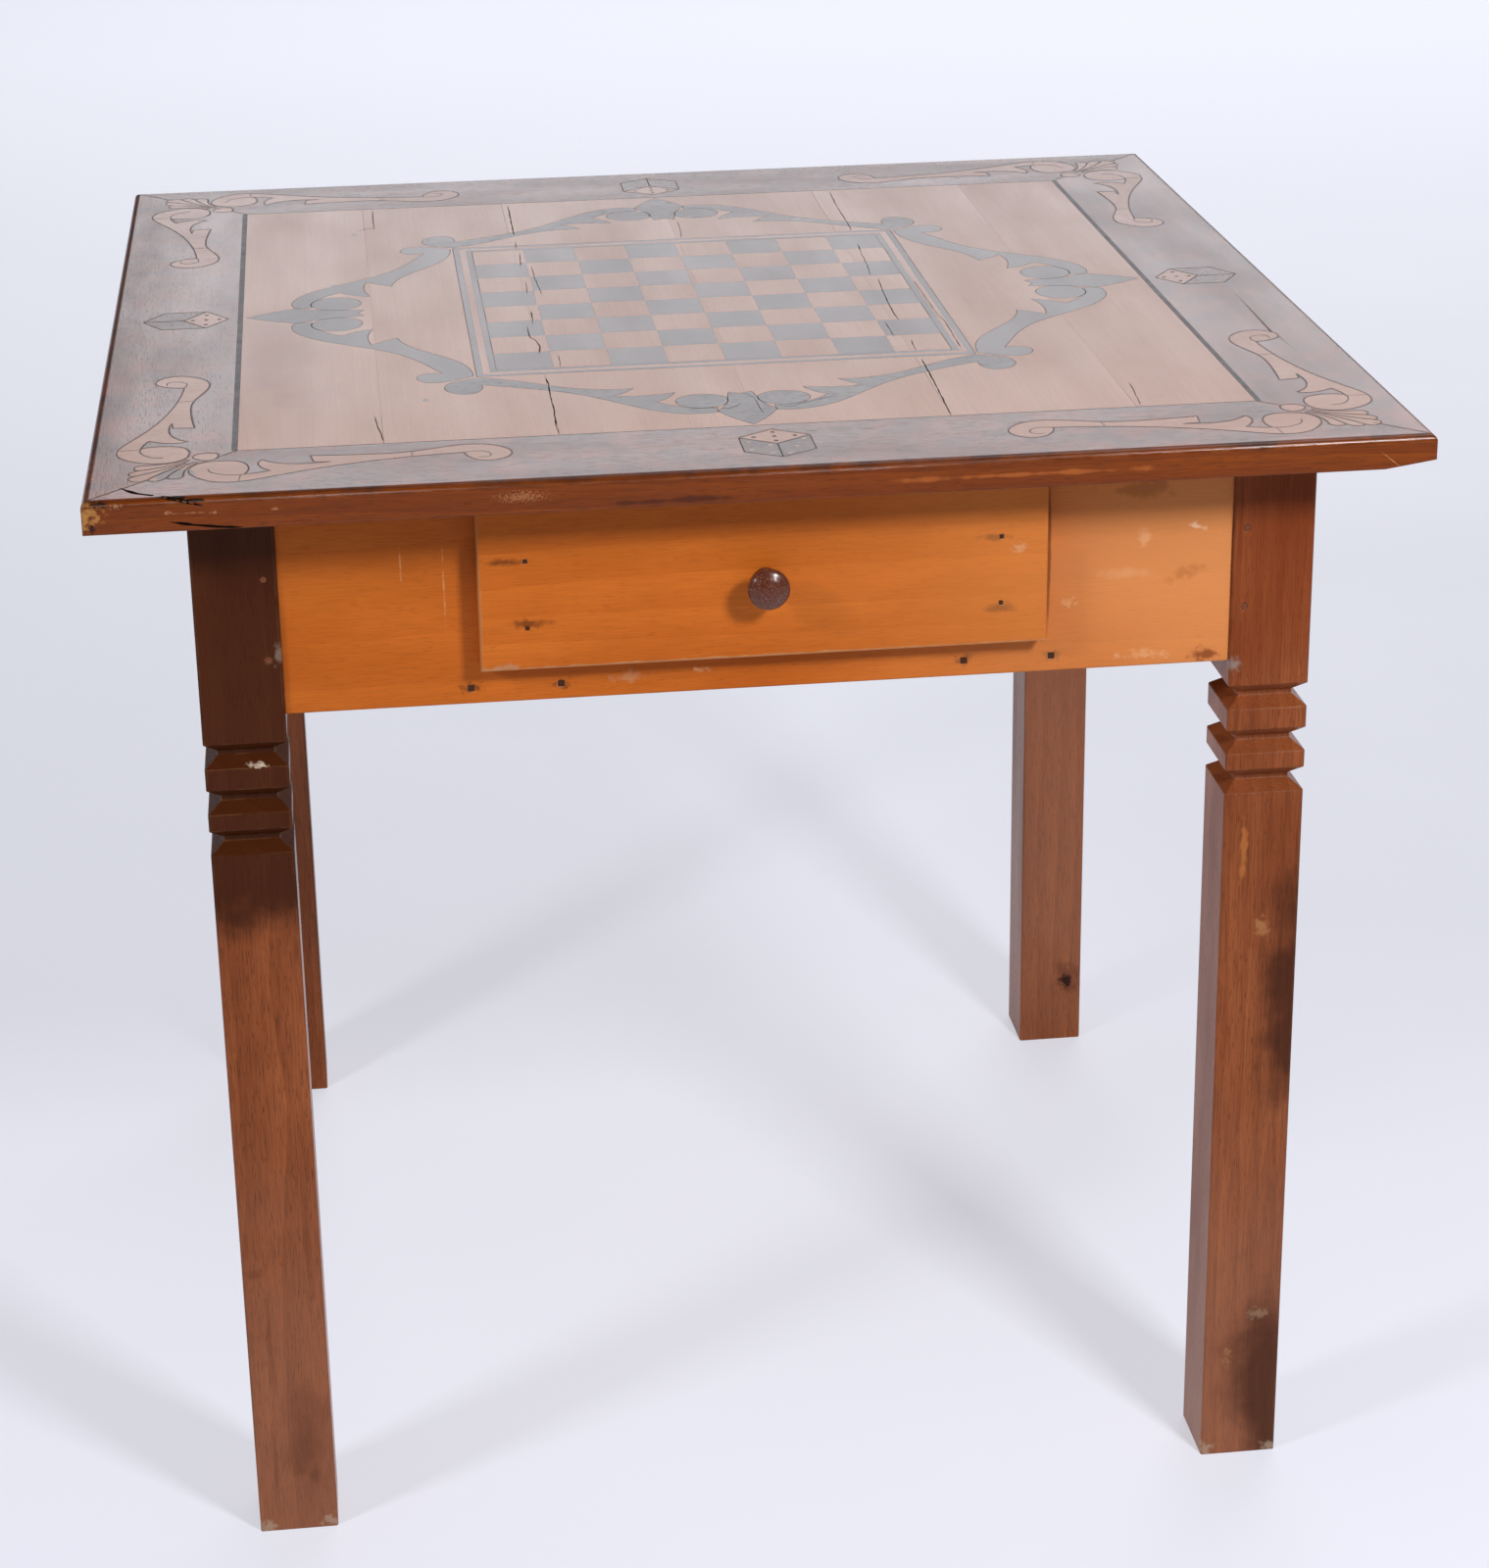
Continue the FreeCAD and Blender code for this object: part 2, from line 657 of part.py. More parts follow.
def make_string(label, width, out):
    """One string round the board: four mitred strips, with their outer edge some way outside the squares."""
    strips = []
    for quarter in range(len(SIDES)):
        half, edge = (SQUARES_X, SQUARES_Y) if quarter % 2 == 0 else (SQUARES_Y, SQUARES_X)
        strip = doc.addObject("Part::Wedge", "Strip")
        strip.Placement = quarter_turn(quarter)
        bound(strip, {
            "Ymin": f"-({edge} + {out})",
            "Ymax": f"{width} - ({edge} + {out})",
            "Xmin": f"-({half} + {out})",
            "Xmax": f"{half} + {out}",
            "X2min": f"{width} - ({half} + {out})",
            "X2max": f"{half} + {out} - {width}",
            "Zmin": INLAY_FLOOR,
            "Z2min": INLAY_FLOOR,
            "Zmax": "Size.table_height",
            "Z2max": "Size.table_height",
        })
        strips.append(strip)
    keep(group("String", strips), label)


def make_board():
    """The squares and strings of the chess board, and the recess that takes them."""
    make_string("inner_stringing", "Size.dark_string", "Size.dark_string")
    make_string("light_stringing", "Size.light_string", "(Size.dark_string + Size.light_string)")
    make_string("outer_stringing", "Size.dark_string", STRINGS)
    height = "Size.inlay_depth + Size.overrun"
    recesses = []
    rims = ((BOARD_X, BOARD_Y, "Size.square_kerf"), (SQUARES_X, SQUARES_Y, "-Size.square_kerf"))
    for half_x, half_y, gap in rims:
        x = f"({half_x} + {gap})"
        y = f"({half_y} + {gap})"
        recesses.append(block(f"{x} * 2", f"{y} * 2", height, f"-{x}", f"-{y}", INLAY_FLOOR))
    channel = less("StringChannel", *recesses)
    return fused("BoardRecess", [channel, *make_squares()])


# Top


def make_field(scrolls, recesses):
    """The boards of the field: tongued into the frame, open at their joints, cut for the inlay."""
    joints = [f"({FIELD_HALF} * {share})" for share in PLANK_JOINT_SHARES]
    edges = [f"-{FIELD_HALF}", *joints, FIELD_HALF]
    last = len(edges) - 2
    end = f"({FIELD_HALF} - Size.plank_gap / 2)"
    tongue_end = f"({FIELD_HALF} + Size.tongue_length)"
    for index, (left, right) in enumerate(zip(edges, edges[1:])):
        left = f"{left} + Size.plank_gap / 2"
        right = f"{right} - Size.plank_gap / 2"
        body = plank("Plank", left, right, f"-{end}", end, TOP_UNDER, f"{INLAY_FLOOR} - {TOP_UNDER}")
        tongue_left = f"-{tongue_end}" if index == 0 else left
        tongue_right = tongue_end if index == last else right
        plan = (tongue_left, tongue_right, f"-{tongue_end}", tongue_end)
        pad(body, rectangle(body, "XY_Plane", TONGUE_UNDER, *plan), "Size.tongue_thickness")
        board = fused("Board", [body, pierced_layer(value(left), value(right), value(end), scrolls)])
        board.Refine = True
        keep(less("FieldBoard", board, recesses), f"field_board_{index + 1}")


def pierced_layer(left, right, end, openings):
    """The layer of a board that is as deep as the inlay, with openings in the shape of some faces."""
    corner = FreeCAD.Vector(left, -end, value(INLAY_FLOOR))
    plan = Part.makePlane(right - left, end * 2, corner).cut(openings)
    depth = UP * value("Size.inlay_depth")
    return shaped("Layer", Part.makeCompound([face.extrude(depth) for face in plan.Faces]))


def make_frame(corners, dice):
    """The four mitred rails of the frame: rounded outside, grooved inside, cut for the inlay."""
    groove_end = f"({FIELD_HALF} + Size.tongue_length + Size.tongue_gap)"
    outer = {"y": -value(TOP_HALF), "z": value("Size.table_height")}
    for quarter, side in enumerate(SIDES):
        body = new_body("Rail", quarter)
        plan = (
            (f"-{TOP_HALF}", f"-{TOP_HALF}"),
            (TOP_HALF, f"-{TOP_HALF}"),
            (FIELD_HALF, f"-{FIELD_HALF}"),
            (f"-{FIELD_HALF}", f"-{FIELD_HALF}"),
        )
        board = pad(body, outline(body, "XY_Plane", TOP_UNDER, plan), "Size.top_thickness")
        ease(body, "PartDesign::Fillet", board, lambda edge: lies_at(edge, **outer),
             "Radius", "Size.edge_round")
        groove = (f"-{groove_end}", groove_end, f"-{groove_end}", f"Size.overrun - {FIELD_HALF}")
        pocket(body, rectangle(body, "XY_Plane", TONGUE_TOP, *groove), "Size.tongue_thickness")
        faces = corners[quarter] + corners[(quarter + 1) % len(CORNERS)] + dice[quarter]
        merged = faces[0].multiFuse(faces[1:]).removeSplitter().Faces
        height = UP * value("Size.inlay_depth + Size.overrun")
        recess = shaped("FrameRecess", Part.makeCompound([face.extrude(height) for face in merged]))
        keep(less("FrameRail", body, recess), f"{side}_frame_rail")


def make_top(screw_holes):
    """The inlaid top, with holes under it for its screws."""
    make_field(make_scrolls(), group("FieldRecess", [make_board(), *screw_holes]))
    make_frame(make_corner_ornaments(), make_dice())


# Base


def make_legs():
    """Four square legs with carved necks, mortised for the aprons and bored for the pegs."""
    tenon_height = f"{TENON_TOP} - {TENON_UNDER}"
    mortise_end = f"({LEG_HALF} - Size.tenon_length - Size.mortise_gap)"
    middle = f"({LEG_CENTRE} - {APRON_MIDDLE})"
    cheeks = (f"{middle} - Size.tenon_thickness / 2", f"{middle} + Size.tenon_thickness / 2")
    across = (mortise_end, f"{LEG_HALF} + Size.overrun")
    peg_across = f"{LEG_HALF} - Size.peg_inset"
    pegs = [(peg_across, f"{APRON_BASE} + Size.apron_height * {share}") for share in PEG_HEIGHT_SHARES]
    peg_depth = "Size.peg_length + Size.pin_gap + Size.overrun"
    for quarter, corner in enumerate(CORNERS):
        body = new_body("Leg", quarter)
        x, y = turned(f"-{LEG_CENTRE}", f"-{LEG_CENTRE}", quarter)
        bound(body, {"Placement.Base.x": x, "Placement.Base.y": y})
        plan = rectangle(body, "XY_Plane", "0", f"-{LEG_HALF}", LEG_HALF, f"-{LEG_HALF}", LEG_HALF)
        post = pad(body, plan, TOP_UNDER)
        ease(body, "PartDesign::Chamfer", post, is_upright, "Size", "Size.leg_ease")
        carve_neck(body)
        pocket(body, rectangle(body, "XY_Plane", TENON_TOP, *across, *cheeks), tenon_height)
        pocket(body, rectangle(body, "XY_Plane", TENON_TOP, *cheeks, *across), tenon_height)
        outside = f"{LEG_HALF} + Size.overrun"
        pocket(body, circles(body, "XZ_Plane", outside, pegs, PEG_HOLE), peg_depth)
        pocket(body, circles(body, "YZ_Plane", f"-({outside})", pegs, PEG_HOLE), peg_depth, along_normal=True)
        keep(body, f"{corner}_leg")


def is_upright(edge):
    """Whether an edge runs straight up."""
    first, last = (vertex.Point for vertex in edge.Vertexes)
    return abs(first.x - last.x) < TOLERANCE and abs(first.y - last.y) < TOLERANCE


def carve_neck(body):
    """Cuts three grooves with sloping sides into all four faces of a leg, which leave two rings."""
    top = f"({APRON_BASE} - Size.neck_drop)"
    second = f"({top} - Size.neck_groove - Size.upper_ring)"
    third = f"({second} - Size.neck_groove - Size.lower_ring)"
    outside = f"-({LEG_HALF} + Size.overrun)"
    floor = f"Size.neck_depth - {LEG_HALF}"
    cuts = []
    for start in (top, second, third):
        middle = f"{start} - Size.neck_groove / 2"
        corners = (
            (outside, start),
            (f"-{LEG_HALF}", start),
            (floor, f"{middle} + Size.neck_floor / 2"),
            (floor, f"{middle} - Size.neck_floor / 2"),
            (f"-{LEG_HALF}", f"{start} - Size.neck_groove"),
            (outside, f"{start} - Size.neck_groove"),
        )
        sketch = outline(body, "XZ_Plane", f"{LEG_HALF} + Size.overrun", corners)
        cuts.append(pocket(body, sketch, "Size.leg_side + Size.overrun * 2"))
    pattern = body.newObject("PartDesign::PolarPattern", "FourFaces")
    pattern.Originals = cuts
    pattern.Axis = (origin_feature(body, "Z_Axis"), [""])
    pattern.Angle = 360
    pattern.Occurrences = 4
    body.Tip = pattern
    doc.recompute()


def make_aprons():
    """Four aprons with tenons; the front one is cut out for the drawer, and two are bored for nails."""
    tenon_end = f"({LEG_INNER} + Size.tenon_length)"
    cheeks = [f"-({APRON_MIDDLE} {sign} Size.tenon_thickness / 2)" for sign in "+-"]
    outside = f"{APRON_FACE} + Size.overrun"
    through = "Size.apron_thickness + Size.overrun * 2"
    heights = [f"{APRON_BASE} + Size.apron_height * {share}" for share in PEG_HEIGHT_SHARES]
    pegs = [(f"{sign}{PEG_AT}", height) for sign in ("", "-") for height in heights]
    nails = [(f"{sign}{x}", RUNNER_NAIL_Z) for sign in ("", "-") for x in RUNNER_NAIL_XS]
    for quarter, side in enumerate(SIDES):
        body = new_body("Apron", quarter)
        plan = (f"-{LEG_INNER}", LEG_INNER, f"-{APRON_FACE}", f"-{APRON_BACK}")
        pad(body, rectangle(body, "XY_Plane", APRON_BASE, *plan), "Size.apron_height")
        tenons = rectangle(body, "XY_Plane", TENON_UNDER, f"-{tenon_end}", tenon_end, *cheeks)
        pad(body, tenons, f"{TENON_TOP} - {TENON_UNDER}")
        pocket(body, circles(body, "XZ_Plane", outside, pegs, PEG_HOLE), through)
        if side == "front":
            opening = (f"-{OPENING_HALF}", OPENING_HALF, SILL_TOP, f"{TOP_UNDER} + Size.overrun")
            pocket(body, rectangle(body, "XZ_Plane", outside, *opening), through)
        if side in ("front", "back"):
            pocket(body, squares(body, "XZ_Plane", outside, nails, RUNNER_NAIL_HOLE), through)
        keep(body, f"{side}_apron")


def make_pegs():
    """The pegs that lock the tenons, two through each outer face of each leg."""
    pegs = []
    for quarter in range(len(CORNERS)):
        for share in PEG_HEIGHT_SHARES:
            height = f"{APRON_BASE} + Size.apron_height * {share}"
            starts = (
                (f"-{PEG_AT}", "-Size.base_side / 2", FreeCAD.Vector(0, 1, 0)),
                ("-Size.base_side / 2", f"-{PEG_AT}", FreeCAD.Vector(1, 0, 0)),
            )
            for x, y, direction in starts:
                inward = quarter_turn(quarter).multVec(direction)
                place = (*turned(x, y, quarter), height)
                pegs.append(peg("Size.peg_diameter", "Size.peg_length", place, inward))
    keep(group("Pegs", pegs), "tenon_pegs")


def make_corner_blocks():
    """Blocks glued in the corners round the legs, bored and counterbored for the top's screws."""
    screw = [(f"-{SCREW_AT}", f"-{SCREW_AT}")]
    corners = (
        (f"-{LEG_INNER}", f"-{APRON_BACK}"),
        (f"-{LEG_INNER}", f"-{LEG_INNER}"),
        (f"-{APRON_BACK}", f"-{LEG_INNER}"),
        (f"-{APRON_BACK}", f"Size.block_reach - {LEG_INNER}"),
        (f"Size.block_reach - {LEG_INNER}", f"-{APRON_BACK}"),
    )
    below = f"{SCREW_BASE} - Size.overrun"
    head = "Size.screw_head_diameter + Size.pin_gap * 2"
    for quarter, corner in enumerate(CORNERS):
        body = new_body("CornerBlock", quarter)
        pad(body, outline(body, "XY_Plane", SCREW_BASE, corners), "Size.block_height")
        shank = circles(body, "XY_Plane", below, screw, SCREW_HOLE)
        pocket(body, shank, "Size.block_height + Size.overrun * 2", along_normal=True)
        bore = circles(body, "XY_Plane", below, screw, head)
        pocket(body, bore, "Size.screw_head_height + Size.overrun", along_normal=True)
        keep(body, f"{corner}_corner_block")


def make_screws():
    """The screws up through the corner blocks into the field, and the holes that they need there."""
    screws = []
    holes = []
    for quarter in range(len(CORNERS)):
        place = (*turned(f"-{SCREW_AT}", f"-{SCREW_AT}", quarter), SCREW_BASE)
        shank = pin("Size.screw_diameter", "Size.screw_length", place, UP)
        head = pin("Size.screw_head_diameter", "Size.screw_head_height", place, UP)
        screws.append(fused("Screw", [shank, head]))
        holes.append(pin(SCREW_HOLE, "Size.screw_length + Size.pin_gap", place, UP))
    keep(group("Screws", screws), "top_screws")
    return holes


def make_runners():
    """The runners that the drawer slides on and the guides beside it, nailed through two aprons."""
    reach = "Size.runner_nail_length - Size.apron_thickness + Size.pin_gap + Size.overrun"
    nails = []
    for side, sign in (("left", "-"), ("right", "")):
        ends = (f"-{APRON_BACK}", APRON_BACK)
        runner = plank("Runner", f"{sign}{RUNNER_IN}", f"{sign}{RUNNER_OUT}", *ends, RUNNER_BASE,
                       f"{SILL_TOP} - {RUNNER_BASE}")
        places = [(f"{sign}{x}", RUNNER_NAIL_Z) for x in RUNNER_NAIL_XS]
        outside = f"{APRON_BACK} + Size.overrun"
        pocket(runner, squares(runner, "XZ_Plane", outside, places, RUNNER_NAIL_HOLE), reach)
        far = squares(runner, "XZ_Plane", f"-({outside})", places, RUNNER_NAIL_HOLE)
        pocket(runner, far, reach, along_normal=True)
        keep(runner, f"drawer_runner_{side}")
        edges = (f"{sign}{OPENING_HALF}", f"{sign}{RUNNER_OUT}")
        keep(plank("Guide", *edges, *ends, SILL_TOP, "Size.guide_height"), f"drawer_guide_{side}")
        for x, z in places:
            for start, direction in ((f"-{APRON_FACE}", 1), (APRON_FACE, -1)):
                inward = FreeCAD.Vector(0, direction, 0)
                nails.append(nail("Size.runner_nail_side", "Size.runner_nail_length", (x, start, z), inward))
    keep(group("RunnerNails", nails), "runner_nails")


# Drawer


def nail_heights():
    """The heights of the drawer's nails, as expressions."""
    return [f"{FRONT_BASE} + ({FRONT_TOP} - {FRONT_BASE}) * {share}" for share in NAIL_HEIGHT_SHARES]


def make_drawer_front():
    """The front that lies over the apron: eased round its face, grooved for the bottom, bored."""
    body = new_body("DrawerFront")
    face = rectangle(body, "XZ_Plane", FRONT_BACK, f"-{FRONT_HALF}", FRONT_HALF, FRONT_BASE, FRONT_TOP)
    board = pad(body, face, "Size.front_thickness")
    ease(body, "PartDesign::Fillet", board, lambda edge: lies_at(edge, y=-value(FRONT_FACE)),
         "Radius", "Size.front_ease")
    groove_half = f"({DRAWER_INNER} + Size.bottom_groove)"
    groove = rectangle(body, "XY_Plane", BOTTOM_TOP, f"-{groove_half}", groove_half,
                       f"-({FRONT_BACK} + Size.bottom_groove)", f"Size.overrun - {FRONT_BACK}")
    pocket(body, groove, "Size.drawer_bottom")
    outside = f"{FRONT_FACE} + Size.overrun"
    through = "Size.front_thickness + Size.overrun * 2"
    hole = circles(body, "XZ_Plane", outside, [("0", knob_height())], "Size.knob_tenon + Size.pin_gap * 2")
    pocket(body, hole, through)
    middle = f"({DRAWER_HALF} - Size.drawer_side / 2)"
    nails = [(f"{sign}{middle}", height) for sign in ("", "-") for height in nail_heights()]
    pocket(body, squares(body, "XZ_Plane", outside, nails, DRAWER_NAIL_HOLE), through)
    keep(body, "drawer_front")


def knob_height():
    """The height of the knob's axis, as an expression."""
    return f"{FRONT_BASE} + ({FRONT_TOP} - {FRONT_BASE}) * {KNOB_HEIGHT_SHARE}"


def make_drawer_sides():
    """The two sides, grooved for the bottom and bored for the nails at both ends."""
    reach = "Size.drawer_nail_length - Size.front_thickness + Size.pin_gap + Size.overrun"
    middle = f"({DRAWER_HALF} - Size.drawer_side / 2)"
    back_at = f"{DRAWER_END} - Size.drawer_back / 2"
    for side, sign in (("left", "-"), ("right", "")):
        faces = (f"{sign}{DRAWER_INNER}", f"{sign}{DRAWER_HALF}")
        body = plank("DrawerSide", *faces, f"-{FRONT_BACK}", DRAWER_END,
                     DRAWER_BASE, f"{DRAWER_HEAD} - {DRAWER_BASE}")
        groove = (
            f"{sign}({DRAWER_INNER} - Size.overrun)",
            f"{sign}({DRAWER_INNER} + Size.bottom_groove)",
            f"-({FRONT_BACK} + Size.overrun)",
            f"{DRAWER_END} + Size.overrun",
        )
        pocket(body, rectangle(body, "XY_Plane", BOTTOM_TOP, *groove), "Size.drawer_bottom")
        front_nails = [(f"{sign}{middle}", height) for height in nail_heights()]
        outside = f"{FRONT_BACK} + Size.overrun"
        pocket(body, squares(body, "XZ_Plane", outside, front_nails, DRAWER_NAIL_HOLE), reach)
        back_nails = [(back_at, height) for height in nail_heights()]
        level = f"{sign}({DRAWER_HALF} + Size.overrun)"
        holes = squares(body, "YZ_Plane", level, back_nails, DRAWER_NAIL_HOLE)
        pocket(body, holes, "Size.drawer_side + Size.overrun * 2", along_normal=sign == "-")
        keep(body, f"drawer_side_{side}")


def make_drawer_back():
    """The back, between the sides and on the bottom, bored for the nails through the sides."""
    faces = (f"{DRAWER_END} - Size.drawer_back", DRAWER_END)
    body = plank("DrawerBack", f"-{DRAWER_INNER}", DRAWER_INNER, *faces,
                 BOTTOM_TOP, f"{DRAWER_HEAD} - {BOTTOM_TOP}")
    reach = "Size.drawer_nail_length - Size.drawer_side + Size.pin_gap + Size.overrun"
    places = [(f"{DRAWER_END} - Size.drawer_back / 2", height) for height in nail_heights()]
    for sign in ("", "-"):
        level = f"{sign}({DRAWER_INNER} + Size.overrun)"
        holes = squares(body, "YZ_Plane", level, places, DRAWER_NAIL_HOLE)
        pocket(body, holes, reach, along_normal=sign == "-")
    keep(body, "drawer_back")


def make_drawer_bottom():
    """The bottom, in the grooves of the front and the sides and under the back."""
    half = f"({DRAWER_INNER} + Size.bottom_groove - Size.tongue_gap)"
    near = f"Size.tongue_gap - {FRONT_BACK} - Size.bottom_groove"
    body = plank("DrawerBottom", f"-{half}", half, near, DRAWER_END, BOTTOM_UNDER, "Size.drawer_bottom")
    keep(body, "drawer_bottom")


def make_drawer_nails():
    """The nails through the front into the sides and through the sides into the back."""
    middle = f"({DRAWER_HALF} - Size.drawer_side / 2)"
    back_at = f"{DRAWER_END} - Size.drawer_back / 2"
    nails = []
    for sign, inward in (("", -1), ("-", 1)):
        for height in nail_heights():
            starts = (
                ((f"{sign}{middle}", f"-{FRONT_FACE}", height), FreeCAD.Vector(0, 1, 0)),
                ((f"{sign}{DRAWER_HALF}", back_at, height), FreeCAD.Vector(inward, 0, 0)),
            )
            for place, direction in starts:
                nails.append(nail("Size.drawer_nail_side", "Size.drawer_nail_length", place, direction))
    keep(group("DrawerNails", nails), "drawer_nails")


def make_knob():
    """The turned knob, with a tenon through the drawer front."""
    body = new_body("Knob")
    bound(body, {"Placement.Base.y": f"-{FRONT_FACE}", "Placement.Base.z": knob_height()})
    profile = [(f"-Size.knob_reach * {out}", f"Size.knob_diameter / 2 * {radius}")
               for out, radius in KNOB_PROFILE_SHARES]
    tenon = [("Size.front_thickness", "0"), ("Size.front_thickness", "Size.knob_tenon / 2"),
             ("0", "Size.knob_tenon / 2")]
    sketch = outline(body, "YZ_Plane", "0", (*tenon, *profile))
    turning = body.newObject("PartDesign::Revolution", "Turning")
    turning.Profile = sketch
    turning.ReferenceAxis = (sketch, ["H_Axis"])
    turning.Angle = 360
    doc.recompute()
    keep(body, "drawer_knob")


def check_and_write():
    """Makes sure that every object is sound, then writes each piece under its label."""
    doc.recompute()
    faulty = [item.Label for item in doc.Objects if {"Invalid", "Error"} & set(item.State)]
    unsound = [piece.Label for piece in nodes if piece.Shape.isNull() or not piece.Shape.isValid()]
    if faulty or unsound:
        raise RuntimeError(f"failed: {faulty}, unsound: {unsound}")
    os.makedirs("parts", exist_ok=True)
    for piece in nodes:
        piece.Shape.exportStep(f"parts/{piece.Label}.step")


make_top(make_screws())
make_legs()
make_aprons()
make_pegs()
make_corner_blocks()
make_runners()
make_drawer_front()
make_drawer_sides()
make_drawer_back()
make_drawer_bottom()
make_drawer_nails()
make_knob()
check_and_write()
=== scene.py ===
"""Looks of a free-standing chess table: inlaid top, carved square legs and one drawer."""

import logging
from collections.abc import Iterable, Iterator
from dataclasses import dataclass, replace
from enum import Enum
from math import cos, pi, radians, sin
from typing import ClassVar

import bmesh
import bpy
from bpy.types import ID, Material, Mesh, Node, NodeSocket, NodeTree, Object
from mathutils import Euler, Matrix, Vector, noise


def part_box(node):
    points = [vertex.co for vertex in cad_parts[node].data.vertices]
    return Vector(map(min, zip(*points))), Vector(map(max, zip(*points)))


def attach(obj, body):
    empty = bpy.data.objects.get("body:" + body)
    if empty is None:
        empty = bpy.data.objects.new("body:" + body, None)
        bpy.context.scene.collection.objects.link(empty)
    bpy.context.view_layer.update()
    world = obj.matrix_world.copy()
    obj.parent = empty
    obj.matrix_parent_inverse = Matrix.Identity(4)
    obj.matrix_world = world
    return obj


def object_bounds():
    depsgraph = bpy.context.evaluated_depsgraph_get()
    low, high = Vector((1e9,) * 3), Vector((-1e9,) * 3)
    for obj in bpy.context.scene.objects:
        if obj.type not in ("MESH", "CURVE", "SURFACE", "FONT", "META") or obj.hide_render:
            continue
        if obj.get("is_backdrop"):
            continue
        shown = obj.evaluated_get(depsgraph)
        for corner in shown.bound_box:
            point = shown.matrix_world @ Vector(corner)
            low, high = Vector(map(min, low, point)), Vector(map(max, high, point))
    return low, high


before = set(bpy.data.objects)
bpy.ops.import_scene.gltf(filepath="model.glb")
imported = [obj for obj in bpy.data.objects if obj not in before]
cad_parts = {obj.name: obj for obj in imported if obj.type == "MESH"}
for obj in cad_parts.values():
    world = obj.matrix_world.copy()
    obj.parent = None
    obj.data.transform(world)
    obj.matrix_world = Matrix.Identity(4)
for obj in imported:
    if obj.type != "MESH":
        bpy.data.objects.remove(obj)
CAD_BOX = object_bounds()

Triple = tuple[float, float, float]
Pair = tuple[float, float]
# Look of a mark: tone, strength, ragged, core and wander_mm.
Look = tuple[str, float, float, float, float]

LOG = logging.getLogger("chess_table")
MM = 0.001
SIDES = ("front", "right", "back", "left")
CORNERS = ("front_left", "front_right", "back_right", "back_left")

# Turn from one figure to the next, and the shift of its noise, so that no two pieces look alike.
GOLDEN_ANGLE = radians(137.5)
NOISE_SHIFT: Triple = (0.37, 0.53, 0.71)
# Sets the swelling of a crack apart from its wandering.
SWELL_SHIFT = Vector((7.0, 3.0, 5.0))

# Sockets of the colour form of Blender's Mix node.
MIX_SHARE, MIX_FIRST, MIX_SECOND, MIX_RESULT = 0, 6, 7, 2


def linear(hex_colour: str) -> tuple[float, float, float, float]:
    """Turns an sRGB hex colour to linear light.

    Args:
        hex_colour: Colour such as "#C87A30".

    Returns:
        Red, green, blue and an alpha of 1.
    """
    parts = [int(hex_colour[i:i + 2], 16) / 255 for i in (1, 3, 5)]
    return (*(c / 12.92 if c <= 0.04045 else ((c + 0.055) / 1.055) ** 2.4 for c in parts), 1.0)


def add(tree: NodeTree, kind: str, inputs: dict[str | int, object] | None = None,
        **settings: object) -> Node:
    """Adds one node to a material, with its settings and links.

    Args:
        tree: Node tree that receives the node.
        kind: Blender's identifier of the node.
        inputs: Constants or output sockets, by the input's name or number.
        **settings: Properties of the node itself.

    Returns:
        The new node.
    """
    node = tree.nodes.new(kind)
    for name, value in settings.items():
        setattr(node, name, value)
    for key, value in (inputs or {}).items():
        if isinstance(value, NodeSocket):
            tree.links.new(value, node.inputs[key])
        else:
            node.inputs[key].default_value = value
    return node


def blank(name: str) -> tuple[Material, NodeTree, NodeSocket]:
    """Makes a material with no nodes but its coordinates.

    Args:
        name: Name of the material.

    Returns:
        The material, its node tree and its object coordinates.
    """
    made = bpy.data.materials.new(name)
    made.use_nodes = True
    made.node_tree.nodes.clear()
    return made, made.node_tree, add(made.node_tree, "ShaderNodeTexCoord").outputs["Object"]


def per_metre(across_mm: float, along_mm: float) -> Triple:
    """Texture scale of a figure that is across_mm wide and along_mm long on texture Z."""
    return (1 / (across_mm * MM), 1 / (across_mm * MM), 1 / (along_mm * MM))


class GrainAxis(Enum):
    """Way the fibres of a piece run, as the turn that brings it onto texture Z."""

    X = (0.0, -pi / 2, 0.0)
    Y = (pi / 2, 0.0, 0.0)
    Z = (0.0, 0.0, 0.0)


